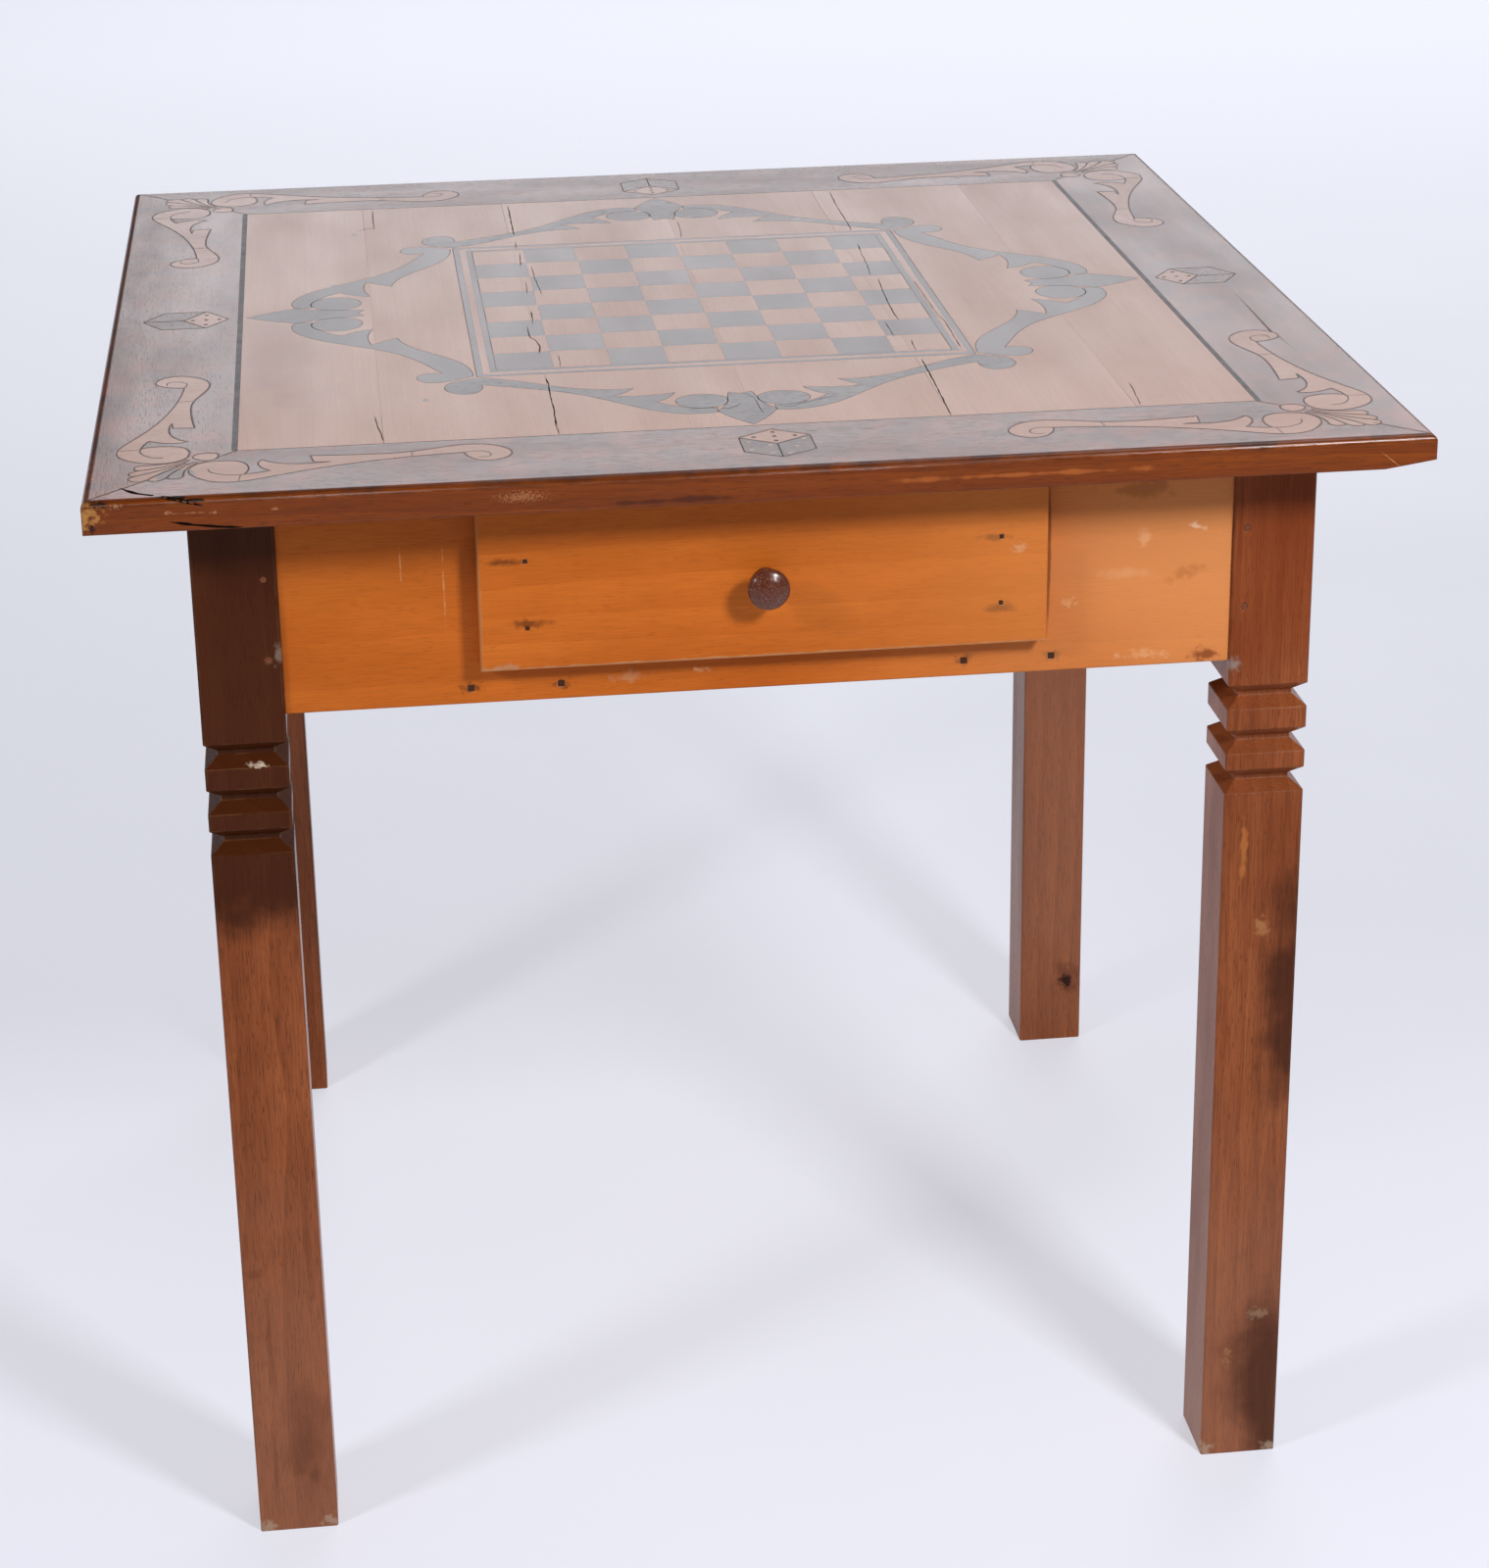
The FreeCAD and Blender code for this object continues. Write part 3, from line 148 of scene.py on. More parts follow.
@dataclass(frozen=True)
class Mark:
    """A knot, stain, chip or worn patch in a piece of wood, or a painted highlight, sheen or shade on
    it.

    Attributes:
        centre: Middle of the mark, in millimetres.
        reach: Half sizes along its own X, Y and Z, in millimetres.
        tone: Colour in the middle.
        strength: Share of the wood's own colour that it covers.
        ragged: Share of its reach by which its edge wanders.
        core: Share of its reach that is full strength.
        wander_mm: Size of the bays in its edge.
        turn: Turn about Y, in degrees.
    """

    centre: Triple
    reach: Triple
    tone: str
    strength: float = 0.7
    ragged: float = 0.5
    core: float = 0.2
    wander_mm: float = 6.0
    turn: float = 0.0

    def cover(self, tree: NodeTree, place: NodeSocket) -> NodeSocket:
        """Makes the shape of the mark.

        Args:
            tree: Node tree of the material.
            place: Object coordinates.

        Returns:
            How far it covers the wood's own colour.
        """
        share = add(tree, "ShaderNodeMapping",
                    {"Vector": place, "Location": Vector(self.centre) * MM,
                     "Rotation": (0, radians(self.turn), 0), "Scale": Vector(self.reach) * MM},
                    vector_type="TEXTURE")
        wander = add(tree, "ShaderNodeTexNoise",
                     {"Vector": place, "Scale": 1 / (self.wander_mm * MM), "Detail": 3.0})
        wander = add(tree, "ShaderNodeMapRange",
                     {"Value": wander.outputs[0], "From Min": 0.25, "From Max": 0.75,
                      "To Min": -self.ragged, "To Max": self.ragged})
        far = add(tree, "ShaderNodeVectorMath", {0: share.outputs[0]}, operation="LENGTH")
        far = add(tree, "ShaderNodeMath", {0: far.outputs["Value"], 1: wander.outputs[0]},
                  operation="ADD")
        return add(tree, "ShaderNodeMapRange",
                   {"Value": far.outputs[0], "From Min": 1.0, "From Max": self.core,
                    "To Max": self.strength}, interpolation_type="SMOOTHSTEP").outputs[0]


@dataclass(frozen=True)
class WoodFinish:
    """A wood and the way its surface was made.

    Attributes:
        name: Common name of the wood and of its surface.
        pale, mid, deep: Early wood, late wood and pores.
        ring_mm: Spacing of the growth rings that show.
        ring_share: Strength of the rings.
        ring_stretch: How many times longer than wide the figure of the rings is.
        fibre_mm: Width of the fibre streaks.
        fibre_length_mm: Length of the fibre streaks.
        pore_mm: Width and length of the dark pores.
        pore_share: Strength of those.
        mottle_mm: Width and length of the broad clouds in the colour.
        mottle_share: Strength of those.
        fleck_mm: Size of small pale flecks.
        fleck_share: Strength of those.
        patch_mm: Width and depth of pieces of one tone each, or None for a single piece.
        patch_share: Most that such a piece takes of the tone of wear.
        roughness: Roughness of the finish.
        sheen_spread: What is added to that between the clouds, and in them.
        ior: Index of refraction of the finish.
        coat: Weight of a clear finish over it.
        coat_roughness: Roughness of that.
        wear: Tone of worn edges.
        wear_mm: Size of the worn patches along an edge.
        wear_share: Strength of the wear.
        round_mm: Radius that edges are rounded to the eye by.
        relief_mm: Height of the fibre relief.
        bump: Strength of that.
    """

    name: str
    pale: str
    mid: str
    deep: str
    ring_mm: float = 6.0
    ring_share: float = 0.5
    ring_stretch: float = 12.0
    fibre_mm: float = 1.4
    fibre_length_mm: float = 60.0
    pore_mm: Pair = (0.7, 9.0)
    pore_share: float = 0.3
    mottle_mm: Pair = (45.0, 160.0)
    mottle_share: float = 0.4
    fleck_mm: float = 0.9
    fleck_share: float = 0.0
    patch_mm: Pair | None = None
    patch_share: float = 0.75
    roughness: float = 0.45
    sheen_spread: Pair = (-0.06, 0.1)
    ior: float = 1.33
    coat: float = 0.0
    coat_roughness: float = 0.2
    wear: str = "#C9A27A"
    wear_mm: float = 14.0
    wear_share: float = 0.4
    round_mm: float = 1.6
    relief_mm: float = 0.3
    bump: float = 0.25

    def material(self, piece: str, axis: GrainAxis, seed: int, marks: Iterable[Mark] = ()) -> Material:
        """Makes this finish for one piece, so that no two pieces share their figure.

        Args:
            piece: Name of the node that it dresses.
            axis: Way the fibres run.
            seed: Number that picks the figure.
            marks: Knots, stains, worn patches, painted highlights and painted shade of the piece.

        Returns:
            The material.
        """
        made, tree, place = blank(f"{self.name}_{piece}")
        low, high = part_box(piece)
        turn = Euler(axis.value)
        middle = turn.to_matrix() @ ((low + high) / -2)
        grain = add(tree, "ShaderNodeMapping",
                    {"Vector": place, "Rotation": turn, "Location": middle}).outputs[0]
        rings, fibre, pores, mottle = self._figure(tree, grain, seed)
        rubbed, soft_normal = self._worn_edges(tree, place)
        layers = [(rings, self.mid), (mottle, self.mid), (pores, self.deep)]
        if self.patch_mm:
            layers.append((self._patches(tree, place), self.wear))
        if self.fleck_share:
            layers.append((self._flecks(tree, place), self.wear))
        layers += [(mark.cover(tree, place), mark.tone) for mark in marks]
        layers.append((rubbed, self.wear))
        tone: tuple[float, ...] | NodeSocket = linear(self.pale)
        for share, shade in layers:
            tone = add(tree, "ShaderNodeMix",
                       {MIX_SHARE: share, MIX_FIRST: tone, MIX_SECOND: linear(shade)},
                       data_type="RGBA").outputs[MIX_RESULT]
        relief = add(tree, "ShaderNodeMath", {0: fibre, 1: pores}, operation="SUBTRACT").outputs[0]
        bump = add(tree, "ShaderNodeBump",
                   {"Height": relief, "Normal": soft_normal, "Strength": self.bump,
                    "Distance": self.relief_mm * MM}).outputs[0]
        clear, clouded = self.sheen_spread
        sheen = add(tree, "ShaderNodeMapRange",
                    {"Value": mottle, "To Min": self.roughness + clear,
                     "To Max": self.roughness + clouded})
        shader = add(tree, "ShaderNodeBsdfPrincipled",
                     {"Base Color": tone, "Roughness": sheen.outputs[0], "Normal": bump,
                      "IOR": self.ior, "Coat Weight": self.coat,
                      "Coat Roughness": self.coat_roughness, "Coat Normal": bump})
        add(tree, "ShaderNodeOutputMaterial", {"Surface": shader.outputs[0]})
        return made

    def _figure(self, tree: NodeTree, grain: NodeSocket, seed: int) -> tuple[NodeSocket, ...]:
        """Makes the patterns of the wood.

        Args:
            tree: Node tree of the material.
            grain: Coordinates with the fibres along Z.
            seed: Number that picks the figure.

        Returns:
            Strength of the rings, the fibre streaks, the pores and the mottle.
        """
        # A wave of scale 1 repeats each pi / 10, so its scale brings that to the ring spacing.
        per_ring = pi / 10 / (self.ring_mm * MM)
        # The heart of the tree lies five to eight rings away, and the board leans a little to it.
        angle = seed * GOLDEN_ANGLE
        heart = Vector((cos(angle), sin(angle), 0)) * (5 + seed % 4) * self.ring_mm
        lean = (radians(1.5 + seed % 3), radians(2.5 - seed % 4), 0)
        ringed = add(tree, "ShaderNodeMapping",
                     {"Vector": grain, "Location": heart * MM * per_ring, "Rotation": lean,
                      "Scale": (per_ring, per_ring, per_ring / self.ring_stretch)})
        rings = add(tree, "ShaderNodeTexWave",
                    {"Vector": ringed.outputs[0], "Scale": 1.0, "Distortion": 5.0, "Detail": 2.0,
                     "Detail Scale": 0.6, "Phase Offset": float(seed)},
                    wave_type="RINGS", rings_direction="Z", wave_profile="SAW")
        rings = add(tree, "ShaderNodeMapRange",
                    {"Value": rings.outputs[1], "To Max": self.ring_share})
        # Real fibres are about 0.1 mm wide. They are drawn wide enough to show from a step away.
        fibre = self._grain_noise(tree, grain, seed, (self.fibre_mm, self.fibre_length_mm), 3.0)
        dashes = self._grain_noise(tree, grain, seed, self.pore_mm, 1.0)
        dashes = add(tree, "ShaderNodeMapRange",
                     {"Value": dashes, "From Min": 0.58, "From Max": 0.72, "To Max": self.pore_share},
                     interpolation_type="SMOOTHSTEP")
        streaks = add(tree, "ShaderNodeMapRange",
                      {"Value": fibre, "From Min": 0.45, "From Max": 0.8, "To Max": self.pore_share})
        pores = add(tree, "ShaderNodeMath", {0: dashes.outputs[0], 1: streaks.outputs[0]},
                    operation="MAXIMUM")
        clouds = self._grain_noise(tree, grain, seed, self.mottle_mm, 4.0)
        mottle = add(tree, "ShaderNodeMapRange",
                     {"Value": clouds, "From Min": 0.3, "From Max": 0.7, "To Max": self.mottle_share})
        return rings.outputs[0], fibre, pores.outputs[0], mottle.outputs[0]

    def _grain_noise(self, tree: NodeTree, grain: NodeSocket, seed: int, size_mm: Pair,
                     detail: float) -> NodeSocket:
        """Makes a noise drawn out along the fibres.

        Args:
            tree: Node tree of the material.
            grain: Coordinates with the fibres along Z.
            seed: Number that shifts it.
            size_mm: Size across the fibres and along them.
            detail: Octaves of finer noise.

        Returns:
            The noise.
        """
        drawn = add(tree, "ShaderNodeMapping",
                    {"Vector": grain, "Location": tuple(seed * part for part in NOISE_SHIFT),
                     "Scale": per_metre(*size_mm)})
        return add(tree, "ShaderNodeTexNoise",
                   {"Vector": drawn.outputs[0], "Scale": 1.0, "Detail": detail}).outputs[0]

    def _patches(self, tree: NodeTree, place: NodeSocket) -> NodeSocket:
        """Tells the inlaid pieces of a set apart.

        Args:
            tree: Node tree of the material.
            place: Object coordinates.

        Returns:
            How much each piece takes of the tone of wear.
        """
        width, depth = self.patch_mm
        cell = add(tree, "ShaderNodeVectorMath",
                   {0: place, 1: (1 / (width * MM), 1 / (depth * MM), 0)}, operation="MULTIPLY")
        cell = add(tree, "ShaderNodeVectorMath", {0: cell.outputs[0]}, operation="FLOOR")
        lot = add(tree, "ShaderNodeTexWhiteNoise", {"Vector": cell.outputs[0]})
        return add(tree, "ShaderNodeMapRange",
                   {"Value": lot.outputs["Value"], "To Max": self.patch_share}).outputs[0]

    def _flecks(self, tree: NodeTree, place: NodeSocket) -> NodeSocket:
        """Sprinkles small pale flecks.

        Args:
            tree: Node tree of the material.
            place: Object coordinates.

        Returns:
            Strength of the flecks.
        """
        flecks = add(tree, "ShaderNodeTexNoise",
                     {"Vector": place, "Scale": 1 / (self.fleck_mm * MM), "Detail": 2.0})
        return add(tree, "ShaderNodeMapRange",
                   {"Value": flecks.outputs[0], "From Min": 0.56, "From Max": 0.68,
                    "To Max": self.fleck_share}).outputs[0]

    def _worn_edges(self, tree: NodeTree, place: NodeSocket) -> tuple[NodeSocket, NodeSocket]:
        """Rubs the edges and rounds them to the eye.

        Args:
            tree: Node tree of the material.
            place: Object coordinates.

        Returns:
            Strength of the wear, and the softened normal.
        """
        soft = add(tree, "ShaderNodeBevel", {"Radius": self.round_mm * MM}, samples=4).outputs[0]
        sharp = add(tree, "ShaderNodeNewGeometry").outputs["Normal"]
        turned = add(tree, "ShaderNodeVectorMath", {0: soft, 1: sharp}, operation="DOT_PRODUCT")
        edge = add(tree, "ShaderNodeMapRange",
                   {"Value": turned.outputs["Value"], "From Min": 0.99, "From Max": 0.82})
        patchy = add(tree, "ShaderNodeTexNoise",
                     {"Vector": place, "Scale": 1 / (self.wear_mm * MM), "Detail": 4.0})
        patchy = add(tree, "ShaderNodeMapRange",
                     {"Value": patchy.outputs[0], "From Min": 0.42, "From Max": 0.62,
                      "To Max": self.wear_share})
        rubbed = add(tree, "ShaderNodeMath", {0: edge.outputs[0], 1: patchy.outputs[0]},
                     operation="MULTIPLY")
        return rubbed.outputs[0], soft


# Fine-grained pale wood, planed and shellacked: a warm tan with faint streaks under a clear gloss.
FIELD_WOOD = WoodFinish("satinwood_shellacked", "#98602F", "#8C5324", "#5A3014", ring_mm=11,
                        ring_share=0.35, pore_share=0.2, mottle_share=0.5, roughness=0.24,
                        wear_share=0.1, round_mm=0.2)
# Dark mahogany, planed and shellacked: red brown, with open pores and a strong gloss.
FRAME_WOOD = WoodFinish("mahogany_shellacked", "#7E3A04", "#662A02", "#2A1002", ring_mm=9,
                        ring_share=0.7, ring_stretch=7.0, fibre_length_mm=35, pore_share=0.4,
                        mottle_share=0.7, roughness=0.22, ior=1.36, wear="#A8602C")
# Dark rosewood let in flush and shellacked: brown black, so that the gloss gives most of its tone.
DARK_INLAY = WoodFinish("rosewood_inlay_shellacked", "#30241F", "#261A15", "#120A07", ring_mm=5,
                        ring_share=0.4, pore_share=0.4, roughness=0.24, wear_share=0.1, round_mm=0.2)
# The same rosewood in squares, each from another part of the board: no two of quite the same tone.
SQUARE_INLAY = replace(DARK_INLAY, name="rosewood_squares_shellacked", patch_mm=(37.8, 41.0),
                       wear="#4A3C3A")
# Walnut faces of the dice, let in flush and shellacked: hardly darker than the frame round them.
DIE_INLAY = replace(DARK_INLAY, name="walnut_inlay_shellacked", pale="#4A2A18", mid="#3A1E10",
                    deep="#1C0E07", ior=1.31)
# The pale wood again, let in as ornaments: a shade pinker than the field.
LIGHT_INLAY = WoodFinish("satinwood_inlay_shellacked", "#945C32", "#844E26", "#5A3218", ring_mm=9,
                         ring_share=0.3, pore_share=0.2, roughness=0.24, wear_share=0.1, round_mm=0.2)
# Red-brown mahogany of the legs, sawn square and oiled: long flamed figure and a dull sheen.
LEG_WOOD = WoodFinish("mahogany_oiled", "#A25C36", "#743A1E", "#34180B", ring_mm=13, ring_share=0.5,
                      ring_stretch=4.0, fibre_mm=0.9, fibre_length_mm=26, pore_share=0.55,
                      mottle_share=0.8, roughness=0.26, ior=1.18, wear="#A87852")
# Honey-coloured wood of the aprons and drawer, planed and shellacked: even, with fine level grain.
APRON_WOOD = WoodFinish("yellowwood_shellacked", "#C86C24", "#AC5414", "#6A2E0A", ring_mm=16,
                        ring_share=0.4, ring_stretch=7.0, fibre_mm=1.0, fibre_length_mm=24,
                        pore_share=0.28, mottle_share=0.8, ior=1.22)
# Plain unfinished softwood inside: dry, pale and matt.
INNER_WOOD = WoodFinish("pine_sawn", "#C99A62", "#B07E48", "#6E4722", ring_mm=9, ring_share=0.6,
                        pore_share=0.25, roughness=0.7)
# Pegs show their end grain, a little darker than the leg.
PEG_WOOD = WoodFinish("mahogany_end_grain", "#7A4226", "#5E301A", "#2A140A", ring_mm=2,
                      pore_share=0.4, ior=1.31, wear="#B08058", wear_share=0.3, round_mm=0.5)
# Turned and burnished knob: dark red brown, speckled with pale flecks.
KNOB_WOOD = WoodFinish("mahogany_turned", "#62301F", "#481F12", "#1E0C07", ring_mm=3, pore_share=0.5,
                       fleck_share=0.35, roughness=0.3, ior=1.3, coat=0.3, coat_roughness=0.12,
                       wear="#A67A66")


@dataclass(frozen=True)
class BlotchedFinish:
    """Rust, bone, or what fills a seam or a crack: two tones in blotches, uneven to the touch.

    Attributes:
        name: What it is and how it came there.
        pale, deep: The two tones.
        roughness: Roughness of the pale blotches, and of the deep ones.
        ior: Index of refraction of its surface.
        blotch_mm: Size of the blotches.
        detail: Octaves of finer blotches.
        relief_mm: Height of its unevenness.
        bump: Strength of that.
    """

    name: str
    pale: str
    deep: str
    roughness: Pair
    ior: float
    blotch_mm: float = 3.0
    detail: float = 4.0
    relief_mm: float = 0.2
    bump: float = 0.4

    def material(self) -> Material:
        """Makes this finish.

        Returns:
            The material.
        """
        made, tree, place = blank(self.name)
        blotch = add(tree, "ShaderNodeTexNoise",
                     {"Vector": place, "Scale": 1 / (self.blotch_mm * MM),
                      "Detail": self.detail}).outputs[0]
        tone = add(tree, "ShaderNodeMix",
                   {MIX_SHARE: blotch, MIX_FIRST: linear(self.pale), MIX_SECOND: linear(self.deep)},
                   data_type="RGBA")
        smooth, dull = self.roughness
        sheen = add(tree, "ShaderNodeMapRange", {"Value": blotch, "To Min": smooth, "To Max": dull})
        bump = add(tree, "ShaderNodeBump",
                   {"Height": blotch, "Strength": self.bump, "Distance": self.relief_mm * MM})
        shader = add(tree, "ShaderNodeBsdfPrincipled",
                     {"Base Color": tone.outputs[MIX_RESULT], "Roughness": sheen.outputs[0],
                      "IOR": self.ior, "Normal": bump.outputs[0]})
        add(tree, "ShaderNodeOutputMaterial", {"Surface": shader.outputs[0]})
        return made


# Rust on forged nails and screws, rubbed and waxed over: brown, with none of the metal's glint left.
RUST = BlotchedFinish("iron_rust_waxed", "#4A2814", "#381C0C", (0.4, 0.75), 1.25, 2.0, 5.0)
# Old hide glue, squeezed up in the joints and shellacked over: a brown black line with little gloss.
GLUE = BlotchedFinish("hide_glue_shellacked", "#2E1C14", "#180E0A", (0.3, 0.5), 1.22)
# Wax and dust that polishing left along the field: a grey black line, half as glossy as the wood.
POLISH = BlotchedFinish("polish_wax_rubbed", "#2A2220", "#141012", (0.28, 0.48), 1.27, 9.0)
# Shellac melted into the closed joints: level with the field and of its tone.
SHELLAC = BlotchedFinish("shellac_stick_melted", FIELD_WOOD.pale, FIELD_WOOD.mid, (0.14, 0.34), 1.33)
# Dirt in open cracks: black and matt.
DIRT = BlotchedFinish("crack_dirt_settled", "#1A100B", "#080503", (0.75, 0.95), 1.06)
# The pale pips of the dice: bone, filed flush and yellowed.
BONE = BlotchedFinish("bone_filed", "#B89C80", "#96785C", (0.2, 0.4), 1.33, 1.5)


@dataclass(frozen=True)
class Line:
    """A seam or crack that runs over a surface.

    Attributes:
        points: Places that it runs through, in millimetres.
        width: Its full width, in millimetres.
        closed: Whether its end joins its start.
        crack: Whether it wanders, swells and runs out to points, as a crack does.
        step_mm: Spacing of the places along a crack.
        wander_mm: How far a crack strays from its course.
        wander_per_mm: How quickly it strays along its way.
        swell: Usual share of the width that a crack has, and how far that varies.
        swell_per_mm: How quickly that varies along its way.
        least_swell: Least share of the width, away from the ends.
        point: Share of the width at the ends.
        taper_mm: Length over which an end widens.
    """

    points: tuple[Triple, ...]
    width: float
    closed: bool = False
    crack: bool = False
    step_mm: float = 4.0
    wander_mm: float = 0.5
    wander_per_mm: float = 0.21
    swell: Pair = (0.75, 0.6)
    swell_per_mm: float = 0.13
    least_swell: float = 0.2
    point: float = 0.15
    taper_mm: float = 9.0

    def course(self) -> Iterator[tuple[Vector, float]]:
        """Walks along the line.

        Yields:
            Each place and the width there, in millimetres.
        """
        places = [Vector(p) for p in self.points]
        if not self.crack:
            yield from ((p, self.width) for p in places)
            return
        whole = sum((b - a).length for a, b in zip(places, places[1:]))
        usual, spread = self.swell
        gone = 0.0
        for a, b in zip(places, places[1:]):
            run = (b - a).length
            steps = max(1, round(run / self.step_mm))
            for i in range(steps + (b is places[-1])):
                place = a.lerp(b, i / steps)
                along = gone + run * i / steps
                sway = noise.noise(place * self.wander_per_mm) * self.wander_mm
                swell = usual + spread * noise.noise(place * self.swell_per_mm + SWELL_SHIFT)
                near_end = min(along, whole - along) / self.taper_mm
                share = max(self.least_swell, swell) * min(1.0, self.point + near_end)
                yield place + Vector((sway, 0, 0)), self.width * share
            gone += run


@dataclass
class LineWork:
    """Many lines built as one closed mesh, let into a surface.

    Attributes:
        proud_mm: How far the lines stand above the surface.
        sunk_mm: How far they reach below it.
    """

    proud_mm: float = 0.05
    sunk_mm: float = 0.4

    def build(self, name: str, lines: Iterable[Line], finish: BlotchedFinish, slot: str) -> Object:
        """Builds the lines as one piece of the table.

        Args:
            name: Name of the piece.
            lines: The lines.
            finish: What they are filled with.
            slot: Material slot.

        Returns:
            The piece.
        """
        shape = bmesh.new()
        for line in lines:
            self._run(shape, line)
        return piece_of(name, shape, finish.material(), slot)

    def _run(self, shape: bmesh.types.BMesh, line: Line) -> None:
        """Adds one line as a four-sided bar.

        Args:
            shape: Mesh that receives it.
            line: The line.
        """
        course = list(line.course())
        count = len(course)
        rings = []
        for i, (place, width) in enumerate(course):
            before = course[i - 1][0] if i or line.closed else place
            after = course[(i + 1) % count][0] if i + 1 < count or line.closed else place
            place, up = Top.seated(place)
            side = up.cross(after - before).normalized() * width / 2
            high, low = place + up * self.proud_mm, place - up * self.sunk_mm
            bar = (high + side, high - side, low - side, low + side)
            rings.append([shape.verts.new(p * MM) for p in bar])
        spans = zip(rings, rings[1:] + rings[:1]) if line.closed else zip(rings, rings[1:])
        for one, other in spans:
            for k in range(4):
                shape.faces.new((one[k - 1], one[k], other[k], other[k - 1]))
        if not line.closed:
            shape.faces.new(rings[0])
            shape.faces.new(rings[-1][::-1])


def placed(name: str, data: ID) -> Object:
    """Makes an object and puts it in the scene.

    Args:
        name: Name of the object.
        data: Its mesh, light or camera.

    Returns:
        The object.
    """
    made = bpy.data.objects.new(name, data)
    bpy.context.scene.collection.objects.link(made)
    return made


def mesh_of(name: str, shape: bmesh.types.BMesh) -> Mesh:
    """Turns the faces of a shape outwards and makes a mesh of it.

    Args:
        name: Name of the mesh.
        shape: The shape, which this ends.

    Returns:
        The mesh.
    """
    bmesh.ops.recalc_face_normals(shape, faces=shape.faces)
    mesh = bpy.data.meshes.new(name)
    shape.to_mesh(mesh)
    shape.free()
    return mesh


def piece_of(name: str, shape: bmesh.types.BMesh, material: Material, slot: str) -> Object:
    """Makes a shape a piece that rides on the table.

    Args:
        name: Name of the piece.
        shape: Its shape, which this ends.
        material: Its material.
        slot: Material slot; not used.

    Returns:
        The piece.
    """
    mesh = mesh_of(name, shape)
    mesh.materials.append(material)
    piece = placed(name, mesh)
    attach(piece, "table")
    LOG.info("built %s with %d faces", name, len(mesh.polygons))
    return piece


def dress(node: str, material: Material) -> None:
    """Gives a CAD node its material and reports it.

    Args:
        node: Name of the node.
        material: Its material.
    """
    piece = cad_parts[node]
    piece.data.materials.clear()
    piece.data.materials.append(material)
    LOG.info("dressed %s in %s", node, material.name)


def way_of(side: str) -> GrainAxis:
    """Way the fibres of a rail or apron run on a side of the table."""
    return GrainAxis.X if side in ("front", "back") else GrainAxis.Y


def on_top(*points: Pair) -> tuple[Triple, ...]:
    """Places on the upper face of the table, from their X and Y."""
    return tuple((x, y, Top.height) for x, y in points)


# Cracks that opened in the boards and squares, by the places they run through on the upper face.
BOARD_CRACKS: tuple[tuple[float, tuple[Pair, ...]], ...] = (
    (1.0, ((-115.8, 311.9), (-116.6, 240.5), (-116.9, 211))),
    (0.7, ((-117, 191.6), (-118.1, 166.3))),
    (0.7, ((-116.2, 153.4), (-118.2, 112.5))),
    (0.7, ((-117, 66.9), (-118.8, 31.2))),
    (0.7, ((-118.8, -13.8), (-119.2, -32.9), (-120.2, -52.7))),
    (0.8, ((-124.3, -56.3), (-124.2, -83.8), (-121.2, -92.7), (-118.8, -109.7), (-121, -129.7))),
    (1.0, ((-120.5, -186.6), (-119.6, -201), (-120.4, -231.6), (-120.4, -263.8), (-121.7, -294.8),
           (-121.2, -316))),
    (0.5, ((9.2, 237.3), (8.8, 207.5), (6.9, 179))),
    (0.6, ((-110.2, 112.2), (-110.2, 79.2), (-108.3, 26.5))),
    (0.6, ((-108.3, -134.4), (-109, -164))),
    (0.8, ((138.2, 309.7), (136.2, 260.8), (136.2, 193.2), (134.9, 178))),
    (0.7, ((134, 138.5), (132.2, 107.4), (131, 73.9), (128.6, 41.4))),
    (0.7, ((132.6, 31.8), (130.1, -8.3), (128.5, -44.7), (128.3, -72.1), (129.2, -85.8))),
    (0.7, ((118.5, -89.3), (118.7, -126.3))),
    (0.7, ((128.5, -135.8), (127.7, -146), (127.3, -164))),
    (1.0, ((127.2, -184.8), (126.8, -208.4), (126.3, -232.5), (125.5, -256.1), (124.3, -288.3),
           (123.6, -316))),
    (0.6, ((156.5, 21.6), (157, -30.2), (157.1, -74.5), (159.1, -91.1), (158.5, -117.6),
           (157.5, -161.4))),
    (0.8, ((-232.6, -257.8), (-231.5, -279.4), (-229.5, -298.9), (-228.4, -316))),
    (0.8, ((-221.1, 313), (-221.3, 274.2), (-221.2, 250.9))),
    (0.5, ((-221.2, 252), (-227.1, 252), (-233.9, 244.5))),
    (0.7, ((248.8, -263.3), (246.8, -289.6), (244, -316))),
    (0.5, ((2.7, -246.1), (7.1, -255.6), (7.7, -270.1), (8.3, -284.4), (9.2, -293))),
    (0.5, ((-36.6, -275.2), (-28.6, -274.6), (-18.3, -274.7), (-11.5, -278.1), (-5.3, -272.1),
           (-2.3, -266.9))),
    (0.5, ((19.6, -276.4), (27.8, -280.7), (33.2, -275.9), (45.5, -268), (58.7, -260.2))),
    (0.7, ((29.9, -334.2), (35.9, -336.2))),
    (0.7, ((65, -336.4), (71, -337.8))),
)
# Cracks over the front edge near its left end: the first crosses the round, the second follows the face.
EDGE_CRACKS: tuple[tuple[float, tuple[Triple, ...]], ...] = (
    (3.4, ((-386, -382, 750), (-375.6, -395, 750), (-366, -400.5, 750), (-357, -405.25, 749.4),
           (-349.6, -406.7, 748.08), (-337, -407.5, 744.5))),
    (2.0, ((-357, -407.5, 735.5), (-343, -407.5, 733), (-328.4, -407.5, 731.1), (-314, -407.5, 730))),
)
